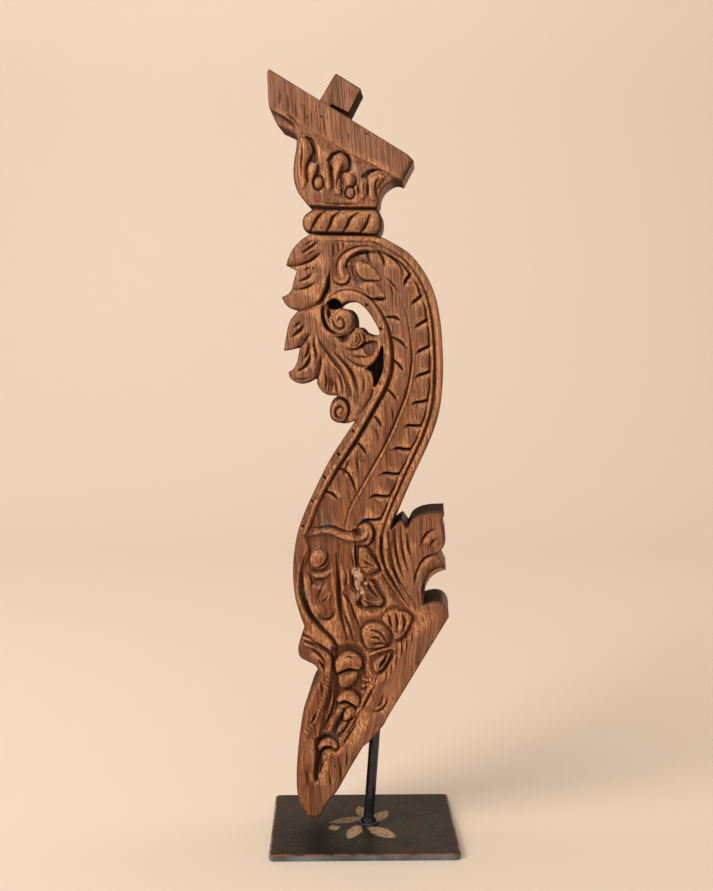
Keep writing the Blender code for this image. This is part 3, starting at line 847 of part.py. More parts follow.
def carve_fan(r):
    """The fan leaf that stands out towards the wall, chamfered along its top."""
    field = [
        (23.5, 297), (29, 306), (37, 300), (44, 309), (56, 313), (70, 314), (72, 291), (64, 276),
        (72, 261), (58, 254), (52.5, 240), (51, 226), (46, 225), (40, 238), (31, 252), (24.6, 264),
        (21.5, 278),
    ]
    r.level(field, -3.0, soft=1.6)
    r.level([(70, 316), (56, 316)] + [(40, 318), (36.5, 312.5), (32, 318), (26.5, 312.5), (22, 298.5),
        (27.5, 304), (32, 306), (36.5, 299.5), (41, 307.5), (46.5, 311), (57.5, 313.5), (70.5, 314.5)],
        -8.5, soft=2.6)
    r.cut(beside(BACK_LINE, -GROOVE_INSET, 0.84)[::6], (3.4, 3.0), ends=(1.0, 0.3))
    r.bead(beside(BACK_LINE, -BEAD_INSET, 0.84)[::6], 3.2, 1.6, ends=(1.0, 0.3))
    r.cut(beside(BACK_LINE, -1.6, 0.86)[::6], SMALL, ends=(0.6, 0.4))
    for path in ([(20, 295.5), (21, 279), (25, 260.5), (31.5, 243.5), (39.5, 229.5)], [(25.5, 297.5),
        (26.5, 279), (30.5, 261.5), (37, 245.5)],
                 [(31, 299.5), (32, 283), (35, 268), (40.5, 253)], [(37, 294), (38, 281), (41.5, 269)]):
        r.cut(path, MEDIUM, ends=(0.5, 0.1))
    r.drop([(72.5, 263), (65, 262), (59, 258), (54.5, 251.5), (50.5, 242)], 7.0, 3.4, ends=(0.6, 0.2),
        wall=0.6)
    for path, gouge, ends in (
        ([(47.5, 279.5), (50.5, 287.5), (54, 293.5), (58.5, 297), (64, 299)], MEDIUM, (0.1, 0.3)),
        ([(56, 279.5), (59.5, 286), (65, 290.5)], SMALL, (0.1, 0.3)),
        ([(46, 259.5), (49.5, 267), (54, 272), (58.5, 274), (67, 276.5)], MEDIUM, (0.2, 0.2)),
        ([(43.5, 242), (45, 257), (49.5, 267)], SMALL, (0.1, 0.5)),
        ([(51.5, 231), (52, 245), (56, 254.5)], BROAD, (0.3, 0.3)),
    ):
        r.cut(path, gouge, ends)


def round_edges(r, stretches):
    """Rounds the edge over, as much as each stretch of the outline is worn or carved."""
    lines = [smooth(points)[:-1] for _, points in stretches]
    line = np.vstack(lines)
    radii = np.concatenate([np.full(len(part), radius) for part, (radius, _) in zip(lines, stretches)])
    reach = 5
    radii = np.concatenate([radii[-reach:], radii, radii[:reach]])
    radii = np.convolve(radii, np.ones(2 * reach + 1) / (2 * reach + 1), "valid")
    closed = np.vstack([line, line[:1]])
    rows, d, share, _ = r.measure(closed, 7.5)
    gaps = np.linalg.norm(np.diff(closed, axis=0), axis=1)
    far = np.concatenate([[0], np.cumsum(gaps)]) / gaps.sum()
    size = np.interp(share, far, np.append(radii, radii[0]))
    over = np.clip(1 - d / size, 0, 1)
    r.h[rows] -= size * (1 - np.sqrt(1 - over ** 2))


def carve(points, front=True):
    """The carved height at each point. The back has the main forms alone, and no pockets."""
    r = Relief(points)
    carve_block(r)
    carve_body(r)
    carve_scales(r)
    carve_rails(r)
    if front:
        carve_hook(r)
    carve_capital(r)
    carve_ring(r)
    carve_fan(r)
    if front:
        carve_lower_panel(r)
        carve_knobs(r)
        carve_lobes(r)
    carve_crest_leaves(r)
    if front:
        carve_scrolls(r)
    round_edges(r, OUTLINE)
    round_edges(r, OPENING)
    return r.h


# Where things are in the drawing: the tenon's near corner on the slope, and the middle of the rod
# where it enters the wood.
TENON_FOOT = 0.3534
ROD_ENTRY = (6.7, 101.9)
# A triangle whose middle is nearer than this to the outline has no area.
SLIVER = 1e-4
# Points nearer than this to one another are taken as one.
SAME_POINT = 1e-5
# The lattice keeps this share of its step clear of the outline.
LATTICE_GAP = 0.55
# How many sides the round pieces have.
ROD_SIDES = 24
RING_SIDES = 32
FLARE_ROWS = 5
# How far the saw cut's own block runs past the wood.
OVERRUN = 0.004


def closed_line(stretches, step):
    """A closed outline as one ring of points, without repeats."""
    return np.vstack([smooth(points, step)[:-1] for _, points in stretches])


def scale():
    """Metres for each drawing millimetre."""
    return BRACKET_HEIGHT / DRAWN_HEIGHT


def rod_x(z):
    """The rod's axis leans towards +X, and this is its place at a height."""
    return ROD_FOOT + (z - PLATE_THICKNESS) * math.tan(ROD_LEAN)


def entry_height():
    return PLATE_THICKNESS + TIP_GAP + (ROD_ENTRY[1] - DRAWN_TIP) * scale()


def bracket_matrix():
    """Turns the drawing about the rod's axis, and stands its tip over the plate."""
    z = entry_height()
    turn = Matrix.Rotation(BRACKET_TURN, 4, "Z")
    return Matrix.Translation((rod_x(z), 0, z)) @ turn @ Matrix.Diagonal((scale(), 1, scale(), 1)) @ (
        Matrix.Translation((-ROD_ENTRY[0], 0, -ROD_ENTRY[1]))
    )


def collection(name):
    made = bpy.data.collections.new(name)
    bpy.context.scene.collection.children.link(made)
    return made


def material(name, colour, roughness, metallic):
    made = bpy.data.materials.new(name)
    made.use_nodes = True
    shader = made.node_tree.nodes["Principled BSDF"]
    shader.inputs["Base Color"].default_value = (*colour, 1)
    shader.inputs["Roughness"].default_value = roughness
    shader.inputs["Metallic"].default_value = metallic
    return made


def add_object(name, mesh, group, look=None):
    made = bpy.data.objects.new(name, mesh)
    group.objects.link(made)
    if look:
        mesh.materials.append(look)
    return made


def helper(name, mesh, group):
    """A cutter or an added body: it shapes another object and isn't part of the model."""
    made = add_object(name, mesh, group)
    made.hide_render = True
    made.display_type = "WIRE"
    return made


def mesh_from(bm, name):
    bmesh.ops.recalc_face_normals(bm, faces=bm.faces)
    mesh = bpy.data.meshes.new(name)
    bm.to_mesh(mesh)
    bm.free()
    return mesh


def face_triangles(outline, opening, step):
    """Fills the outline with a triangular lattice. Returns its points and triangles."""
    edge = np.vstack([outline, opening])
    low = outline.min(0)
    high = outline.max(0)
    row = step * math.sqrt(3) / 2
    lattice = np.array([
        (u + step / 2 * (k % 2), w)
        for k, w in enumerate(np.arange(low[1], high[1], row))
        for u in np.arange(low[0], high[0], step)
    ])
    field = Relief(lattice)
    rows, d = field.inside(outline, step)
    lattice = lattice[rows[d > step * LATTICE_GAP]]
    field = Relief(lattice)
    rows, d = field.inside(opening, step)
    lattice = np.delete(lattice, rows[d > -step * LATTICE_GAP], axis=0)
    points = np.vstack([edge, lattice])
    loops = []
    for first, count in ((0, len(outline)), (len(outline), len(opening))):
        loops += [(first + k, first + (k + 1) % count) for k in range(count)]
    found = delaunay_2d_cdt([Vector(p) for p in points], loops, [], 0, SAME_POINT)
    order = [ids[0] if ids else None for ids in found[3]]
    triangles = np.array([[order[k] for k in face] for face in found[2]])
    middle = Relief(points[triangles].mean(axis=1))
    keep = np.zeros(len(triangles), bool)
    rows, d = middle.inside(outline, step)
    keep[rows[d > SLIVER]] = True
    rows, d = middle.inside(opening, step)
    keep[rows[d > -SLIVER]] = False
    return points, triangles[keep]


def bracket_mesh():
    """The carved solid, in drawing units across and metres deep: two faces and the wall between."""
    outline = closed_line(OUTLINE, FRONT_STEP)
    opening = closed_line(OPENING, FRONT_STEP)
    depth = BRACKET_THICKNESS / DRAWN_THICKNESS
    bm = bmesh.new()
    rims = []
    for side, step in ((-1, FRONT_STEP), (1, BACK_STEP)):
        points, triangles = face_triangles(outline, opening, step)
        height = carve(points, front=side < 0)
        y = side * (BRACKET_THICKNESS / 2 + height * depth)
        made = [bm.verts.new((u, v, w)) for (u, w), v in zip(points, y)]
        for a, b, c in triangles:
            bm.faces.new((made[a], made[b], made[c]))
        rims.append(made[:len(outline) + len(opening)])
    front, back = rims
    for first, count in ((0, len(outline)), (len(outline), len(opening))):
        for k in range(count):
            a = first + k
            b = first + (k + 1) % count
            bm.faces.new((front[a], front[b], back[b], back[a]))
    bmesh.ops.triangulate(bm, faces=[face for face in bm.faces if len(face.verts) > 3])
    bm.transform(bracket_matrix())
    return mesh_from(bm, "carved_bracket")


def on_slope(corners, front, depth, bevel, name):
    """A block standing on the sloping top: corners are metres along it and up from it."""
    a = np.array(TOP_SLOPE[0])
    b = np.array(TOP_SLOPE[1])
    run = (b - a) / np.linalg.norm(b - a)
    up = np.array([-run[1], run[0]])
    foot = a + (b - a) * TENON_FOOT
    points = [foot + (run * reach + up * rise) / scale() for reach, rise in corners]
    bm = bmesh.new()
    near = [bm.verts.new((u, front, w)) for u, w in points]
    far = [bm.verts.new((u, front + depth, w)) for u, w in points]
    bm.faces.new(near)
    bm.faces.new(far)
    for k in range(len(points)):
        after = (k + 1) % len(points)
        bm.faces.new((near[k], far[k], far[after], near[after]))
    bm.transform(bracket_matrix())
    if bevel:
        bmesh.ops.bevel(bm, geom=bm.edges, offset=bevel, segments=1, affect="EDGES")
    return mesh_from(bm, name)


def tenon_mesh():
    """The tenon left standing on the sloping top: its right side leans in and its edges are worn."""
    corners = [
        (0, -TENON_ROOT), (TENON_WIDTH, -TENON_ROOT), (TENON_WIDTH - TENON_TAPER, TENON_LENGTH),
        (0, TENON_LENGTH),
    ]
    front = -BRACKET_THICKNESS / 2 + TENON_SETBACK
    return on_slope(corners, front, TENON_THICKNESS, TENON_BEVEL, "tenon")


def kerf_mesh():
    """The saw cut left open along the front of the tenon's foot, wider at its open end."""
    end = TENON_WIDTH + OVERRUN
    corners = [
        (KERF_START, KERF_LOW), (end, KERF_LOW), (end, KERF_FAR_HEIGHT), (KERF_START, KERF_NEAR_HEIGHT),
    ]
    front = -BRACKET_THICKNESS / 2 + TENON_SETBACK - OVERRUN
    return on_slope(corners, front, OVERRUN + KERF_DEPTH, 0, "kerf")


def turned(profile, sides):
    """A ring or bar turned about the rod's axis and slid sideways to its lean, on the plate."""
    bm = bmesh.new()
    rings = []
    for radius, height in profile:
        z = PLATE_THICKNESS + height
        ring = []
        for k in range(sides):
            angle = 2 * math.pi * k / sides
            ring.append(bm.verts.new((rod_x(z) + radius * math.cos(angle), radius * math.sin(angle), z)))
        rings.append(ring)
    return bm, rings


def join_rings(bm, low, high):
    for k in range(len(low)):
        after = (k + 1) % len(low)
        bm.faces.new((low[k], low[after], high[after], high[k]))


def bar_mesh(profile, sides, name):
    """A closed bar: the rings in order, with a flat face at both ends."""
    bm, rings = turned(profile, sides)
    for low, high in zip(rings[:-1], rings[1:]):
        join_rings(bm, low, high)
    bm.faces.new(rings[0])
    bm.faces.new(rings[-1])
    return mesh_from(bm, name)


def ring_mesh(profile, sides, name):
    """A closed ring: the last ring of points joins the first."""
    bm, rings = turned(profile, sides)
    for low, high in zip(rings, rings[1:] + rings[:1]):
        join_rings(bm, low, high)
    return mesh_from(bm, name)


def boolean(target, operand, operation):
    modifier = target.modifiers.new(operand.name, "BOOLEAN")
    modifier.operation = operation
    modifier.object = operand


def add_bracket(group, helpers):
    wood = material("carved_wood", (0.23, 0.105, 0.045), 0.6, 0.0)
    bracket = add_object("carved_bracket", bracket_mesh(), group, wood)
    thin = bracket.modifiers.new("thin", "DECIMATE")
    thin.ratio = KEPT_TRIANGLES / len(bracket.data.polygons)
    boolean(bracket, helper("tenon", tenon_mesh(), helpers), "UNION")
    boolean(bracket, helper("kerf", kerf_mesh(), helpers), "DIFFERENCE")
    top = entry_height() - PLATE_THICKNESS + ROD_IN_WOOD + CLEARANCE
    radius = ROD_DIAMETER / 2 + CLEARANCE
    bore = bar_mesh([(radius, FLARE_HEIGHT), (radius, top)], ROD_SIDES, "rod_bore")
    boolean(bracket, helper("rod_bore", bore, helpers), "DIFFERENCE")


def add_rod(group):
    steel = material("black_steel", (0.012, 0.014, 0.018), 0.25, 0.9)
    top = entry_height() - PLATE_THICKNESS + ROD_IN_WOOD
    radius = ROD_DIAMETER / 2
    flare = FLARE_DIAMETER / 2
    profile = []
    for k in range(FLARE_ROWS + 1):
        share = k / FLARE_ROWS
        profile.append((radius + (flare - radius) * (1 - share) ** 2, CLEARANCE + FLARE_HEIGHT * share))
    profile.append((radius, top))
    rod = add_object("support_rod", bar_mesh(profile, ROD_SIDES, "support_rod"), group, steel)
    rod.data.shade_smooth()
    rod.data.set_sharp_from_angle(angle=math.radians(40))


def add_foot_ring(group):
    steel = material("foot_ring_steel", (0.016, 0.018, 0.022), 0.22, 0.9)
    inner = FLARE_DIAMETER / 2 + CLEARANCE
    outer = RING_DIAMETER / 2
    middle = (inner + outer) / 2
    half = (outer - inner) / 2
    profile = [(inner, CLEARANCE), (outer, CLEARANCE)]
    for k in range(5):
        angle = math.pi * k / 4
        rise = CLEARANCE + RING_HEIGHT * (0.4 + 0.6 * math.sin(angle))
        profile.append((middle + half * math.cos(angle), rise))
    ring = add_object("foot_ring", ring_mesh(profile, RING_SIDES, "foot_ring"), group, steel)
    ring.data.shade_smooth()
    ring.data.set_sharp_from_angle(angle=math.radians(40))


def add_plate(group):
    steel = material("painted_steel", (0.045, 0.038, 0.028), 0.55, 0.4)
    bm = bmesh.new()
    bmesh.ops.create_cube(bm, size=1)
    size = Matrix.Diagonal((PLATE_WIDTH, PLATE_DEPTH, PLATE_THICKNESS, 1))
    bm.transform(Matrix.Translation((0, 0, PLATE_THICKNESS / 2)) @ size)
    upright = [
        edge for edge in bm.edges
        if abs(edge.verts[0].co.z - edge.verts[1].co.z) > PLATE_THICKNESS / 2
    ]
    bmesh.ops.bevel(bm, geom=upright, offset=PLATE_CORNER, segments=5, profile=0.5, affect="EDGES")
    plate = add_object("base_plate", mesh_from(bm, "base_plate"), group, steel)
    bevel = plate.modifiers.new("worn_edge", "BEVEL")
    bevel.width = PLATE_BEVEL
    bevel.segments = 2
    bevel.limit_method = "ANGLE"
    bevel.angle_limit = math.radians(60)


def main():
    for old in list(bpy.data.objects):
        bpy.data.objects.remove(old)
    group = collection("balcony_bracket")
    helpers = collection("helpers")
    add_bracket(group, helpers)
    add_rod(group)
    add_foot_ring(group)
    add_plate(group)


main()
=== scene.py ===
"""The carved bracket on its stand, as photographed: fine carving, old wood, steel and a painted plate."""

import math

import bmesh
import bpy
import numpy as np
from mathutils import Matrix, Vector
from mathutils.geometry import delaunay_2d_cdt


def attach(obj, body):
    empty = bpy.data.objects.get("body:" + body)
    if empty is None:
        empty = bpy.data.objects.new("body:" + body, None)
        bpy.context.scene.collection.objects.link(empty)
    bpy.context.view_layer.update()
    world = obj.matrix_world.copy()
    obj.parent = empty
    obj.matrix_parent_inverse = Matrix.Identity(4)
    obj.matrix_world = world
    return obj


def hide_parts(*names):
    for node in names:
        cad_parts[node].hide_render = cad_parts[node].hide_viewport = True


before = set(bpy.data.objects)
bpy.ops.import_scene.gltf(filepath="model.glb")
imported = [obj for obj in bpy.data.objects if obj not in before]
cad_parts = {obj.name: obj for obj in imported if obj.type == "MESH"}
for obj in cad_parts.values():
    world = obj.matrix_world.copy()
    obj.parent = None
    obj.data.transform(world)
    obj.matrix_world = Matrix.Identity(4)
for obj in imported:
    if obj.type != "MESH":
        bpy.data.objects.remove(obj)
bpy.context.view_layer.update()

# The wood and the stand, as in the CAD.
BRACKET_HEIGHT = 0.6892
BRACKET_THICKNESS = 0.064
BRACKET_TURN = math.radians(-4.5)
TIP_GAP = 0.0142
TENON_WIDTH = 0.0294
TENON_LENGTH = 0.0284
TENON_TAPER = 0.0024
TENON_THICKNESS = 0.038
TENON_SETBACK = 0.012
TENON_ROOT = 0.010
TENON_BEVEL = 0.0009
KERF_START = 0.0105
KERF_LOW = -0.0006
KERF_NEAR_HEIGHT = 0.0038
KERF_FAR_HEIGHT = 0.0058
KERF_DEPTH = 0.006
PLATE_WIDTH = 0.175
PLATE_DEPTH = 0.140
PLATE_THICKNESS = 0.006
ROD_LEAN = math.radians(4.0)
ROD_FOOT = 0.0047
# How finely the wood is carved: steps in drawing millimetres, rows of points down the sides, and the
# triangles that are kept.
FRONT_STEP = 0.85
BACK_STEP = 2.2
SIDE_ROWS = 15
KEPT_TRIANGLES = 188000
# The camera, worked out from the photograph.
CAMERA_PLACE = (-0.025675, -1.113714, 0.488511)
CAMERA_DOWN = math.radians(5.970)
CAMERA_YAW = math.radians(-0.979)
CAMERA_LENS = 48.48

# The drawing: the bracket's side view in millimetres, u to the right and w up from the plate's
# underside. Each stretch has the radius of its worn or carved front edge, then its points: a smooth
# curve passes through them, and two stretches meet at a corner.
DRAWN_TIP = 20.2
DRAWN_HEIGHT = 689.2
DRAWN_THICKNESS = 64.0
TOP_SLOPE = [(-87.2, 709.4), (36.0, 634.2)]
S_BACK = [
    (8.6, 564.4), (20.0, 558.6), (36.8, 548.4), (49.8, 533.4), (59.8, 513.7), (65.3, 491.2),
    (67.9, 464.1), (68.5, 438.2), (65.6, 407.6), (58.2, 382.9), (42.9, 348.8), (30.0, 318.2),
    (23.0, 299.0),
]
WALL_FACE = [(75.6, 216.8), (18.8, 119.4)]
OUTLINE = [
    (1.6, TOP_SLOPE),
    (3.0, [(36.0, 634.2), (41.2, 629.0)]),
    (5.5, [(41.2, 629.0), (31.4, 610.6)]),
    (3.0, [(31.4, 610.6), (25.2, 612.0), (18.4, 609.0), (13.2, 604.0), (10.4, 597.5), (9.7, 591.5),
        (8.2, 587.0)]),
    (7.0, [(8.2, 587.0), (11.6, 583.0), (12.9, 575.5), (11.8, 568.5), (8.6, 564.4)]),
    (1.4, S_BACK),
    (2.0, [(23.0, 299.0), (27.0, 303.6), (31.5, 307.0)]),
    (2.0, [(31.5, 307.0), (35.0, 303.0), (37.3, 299.6)]),
    (2.0, [(37.3, 299.6), (41.0, 306.5), (47.0, 310.8), (56.0, 313.6), (70.4, 314.6)]),
    (1.4, [(70.4, 314.6), (70.4, 311.0), (68.0, 306.0)]),
    (3.0, [(68.0, 306.0), (70.0, 299.5), (71.8, 291.0), (70.6, 283.0), (65.5, 276.6), (63.5, 275.6)]),
    (2.0, [(63.5, 275.6), (68.2, 269.5), (72.6, 260.8)]),
    (3.0, [(72.6, 260.8), (65.0, 258.0), (58.5, 253.0), (54.4, 245.0), (52.4, 235.0), (52.0, 228.0)]),
    (1.8, [(52.0, 228.0), (57.5, 229.6), (64.5, 230.2), (70.8, 227.8), (74.2, 223.2), (75.6, 216.8)]),
    (1.6, WALL_FACE),
    (2.0, [(18.8, 119.4), (16.0, 113.4), (11.5, 107.6), (3.0, 97.4), (-3.6, 91.6)]),
    (2.4, [(-3.6, 91.6), (-17.6, 67.0), (-28.2, 47.6), (-37.6, 35.6), (-42.4, 25.6), (-46.0, 21.4),
        (-49.8, 20.2)]),
    (6.0, [
        (-49.8, 20.2), (-56.4, 22.4), (-61.6, 28.6), (-65.4, 41.0), (-66.6, 57.0), (-65.4, 82.0),
        (-63.0, 104.0), (-59.6, 125.0), (-56.0, 137.2), (-53.0, 145.6), (-50.0, 151.2), (-47.2, 156.4),
        (-44.6, 161.9),
    ]),
    (4.0, [(-44.6, 161.9), (-48.6, 168.2), (-55.5, 171.9), (-62.4, 176.2), (-64.2, 183.6), (-62.6, 192.0),
        (-58.3, 205.2)]),
    (3.4, [
        (-58.3, 205.2), (-63.0, 218.6), (-66.6, 232.0), (-68.5, 250.0), (-68.2, 268.0), (-64.7, 291.2),
        (-58.2, 311.2), (-47.6, 334.7), (-34.7, 360.6), (-20.6, 382.9), (-11.0, 397.2),
    ]),
    (5.0, [(-11.0, 397.2), (-15.5, 395.6), (-20.0, 394.6), (-28.2, 395.6), (-32.9, 399.0), (-34.3, 405.2),
        (-33.4, 411.6), (-30.4, 417.2), (-26.4, 420.0)]),
    (3.0, [(-26.4, 420.0), (-35.9, 420.9), (-42.0, 425.0), (-45.4, 431.2), (-45.9, 436.2)]),
    (4.0, [(-45.9, 436.2), (-51.2, 432.6), (-59.4, 430.8), (-66.8, 433.2), (-70.8, 437.4),
        (-71.6, 441.6)]),
    (3.0, [(-71.6, 441.6), (-67.4, 444.0), (-63.8, 450.6), (-62.2, 457.6), (-61.0, 464.2)]),
    (2.4, [(-61.0, 464.2), (-68.0, 461.8), (-75.6, 460.6)]),
    (3.0, [(-75.6, 460.6), (-74.2, 470.0), (-72.4, 479.6), (-69.8, 488.0), (-62.8, 496.6)]),
    (2.6, [(-62.8, 496.6), (-71.2, 500.0), (-75.0, 504.4), (-77.3, 509.0)]),
    (3.4, [(-77.3, 509.0), (-71.6, 511.8), (-68.4, 516.0), (-66.4, 523.6), (-63.5, 532.4)]),
    (2.4, [(-63.5, 532.4), (-69.0, 535.2), (-73.3, 537.4)]),
    (4.0, [(-73.3, 537.4), (-71.0, 544.6), (-66.8, 552.4), (-59.6, 560.0), (-52.2, 565.0)]),
    (7.0, [(-52.2, 565.0), (-56.4, 568.4), (-58.6, 574.8), (-57.0, 581.4), (-50.4, 587.2)]),
    (4.0, [
        (-50.4, 587.2), (-57.2, 595.2), (-62.4, 602.4), (-65.8, 612.4), (-66.4, 622.0), (-65.4, 632.0),
        (-63.6, 642.4), (-63.3, 650.2),
    ]),
    (3.0, [(-63.3, 650.2), (-67.2, 654.4), (-73.4, 657.8), (-80.2, 660.8)]),
    (2.4, [(-80.2, 660.8), (-84.4, 669.4), (-87.2, 676.4), (-88.0, 684.0), (-88.8, 706.8)]),
    (2.0, [(-88.8, 706.8), (-87.2, 709.4)]),
]
# The opening right through, under the arch of the inner rail.
OPENING = [
    (3.0, [(-26.2, 500.0), (-22.5, 503.2), (-16.8, 505.0), (-9.6, 504.4), (-3.8, 500.8), (1.8, 494.7),
        (6.2, 487.6), (9.8, 481.0), (11.4, 475.6)]),
    (2.0, [(11.4, 475.6), (6.5, 474.2), (1.8, 475.4), (-1.4, 476.8), (-3.6, 479.6), (-6.5, 481.3),
        (-10.2, 481.6)]),
    (3.0, [(-10.2, 481.6), (-10.5, 487.6), (-12.4, 493.4), (-16.6, 497.6), (-22.0, 498.8),
        (-26.2, 500.0)]),
]

# Gouges, as the width and the depth of the cut that each makes, in drawing millimetres.
FINE = (2.0, 2.0)
SMALL = (2.4, 2.6)
MEDIUM = (3.0, 3.2)
BROAD = (3.8, 3.6)
DEEP = (4.8, 4.8)
CRESCENT = (2.8, 3.4)
# The share of its length over which a stroke grows from either end to its full size.
TAPER = 0.45
# How many gaps of a line are measured together: a small box round them leaves out far points.
GAPS_AT_ONCE = 6


def smooth(points, step=1.5):
    """A curve through given points, with a point every step millimetres or so."""
    p = np.array(points, float)
    if len(p) == 2:
        share = np.linspace(0, 1, max(int(np.linalg.norm(p[1] - p[0]) / step), 1) + 1)[:, None]
        return p[0] * (1 - share) + p[1] * share
    p = np.vstack([2 * p[0] - p[1], p, 2 * p[-1] - p[-2]])
    found = []
    for a, b, c, d in zip(p[:-3], p[1:-2], p[2:-1], p[3:]):
        t1 = math.sqrt(np.linalg.norm(b - a))
        t2 = t1 + math.sqrt(np.linalg.norm(c - b))
        t3 = t2 + math.sqrt(np.linalg.norm(d - c))
        count = max(int(np.linalg.norm(c - b) / step), 1)
        for t in np.linspace(t1, t2, count, endpoint=False):
            ab = a * (t1 - t) / t1 + b * t / t1
            bc = b * (t2 - t) / (t2 - t1) + c * (t - t1) / (t2 - t1)
            cd = c * (t3 - t) / (t3 - t2) + d * (t - t2) / (t3 - t2)
            abc = ab * (t2 - t) / t2 + bc * t / t2
            bcd = bc * (t3 - t) / (t3 - t1) + cd * (t - t1) / (t3 - t1)
            found.append(abc * (t2 - t) / (t2 - t1) + bcd * (t - t1) / (t2 - t1))
    found.append(p[-2])
    return np.array(found)


def beside(line, offset, first=0.0, last=1.0):
    """The line parallel to this one, offset to its left, between two shares of its length."""
    run = np.gradient(line, axis=0)
    run /= np.linalg.norm(run, axis=1)[:, None]
    moved = line + offset * np.column_stack([-run[:, 1], run[:, 0]])
    share = np.linspace(0, 1, len(line))
    return moved[(share >= first) & (share <= last)]


def lengths(line):
    """The gaps between a line's points, and how far along the line each point is."""
    gaps = np.linalg.norm(np.diff(line, axis=0), axis=1)
    return gaps, np.concatenate([[0], np.cumsum(gaps)])


def along(line, distance):
    """The point and the direction at a distance along a line."""
    gaps, far = lengths(line)
    k = min(max(np.searchsorted(far, distance) - 1, 0), len(gaps) - 1)
    run = (line[k + 1] - line[k]) / gaps[k]
    return line[k] + run * (distance - far[k]), run


def spiral(centre, radius, end_radius, start, turn, count):
    """A spiral's points. The angles are in degrees, and a positive turn is anticlockwise."""
    share = np.linspace(0, 1, count)
    angle = np.radians(start + turn * share)
    reach = radius + (end_radius - radius) * share
    return np.column_stack([centre[0] + reach * np.cos(angle), centre[1] + reach * np.sin(angle)])


def ease(x):
    """0 up to 0, 1 from 1 on, and a smooth rise between."""
    x = np.clip(x, 0, 1)
    return x * x * (3 - 2 * x)


def taper(share, ends):
    """How much of its size a stroke has at each share of its length."""
    start = ends[0] + (1 - ends[0]) * ease(share / TAPER)
    return np.minimum(start, ends[1] + (1 - ends[1]) * ease((1 - share) / TAPER))


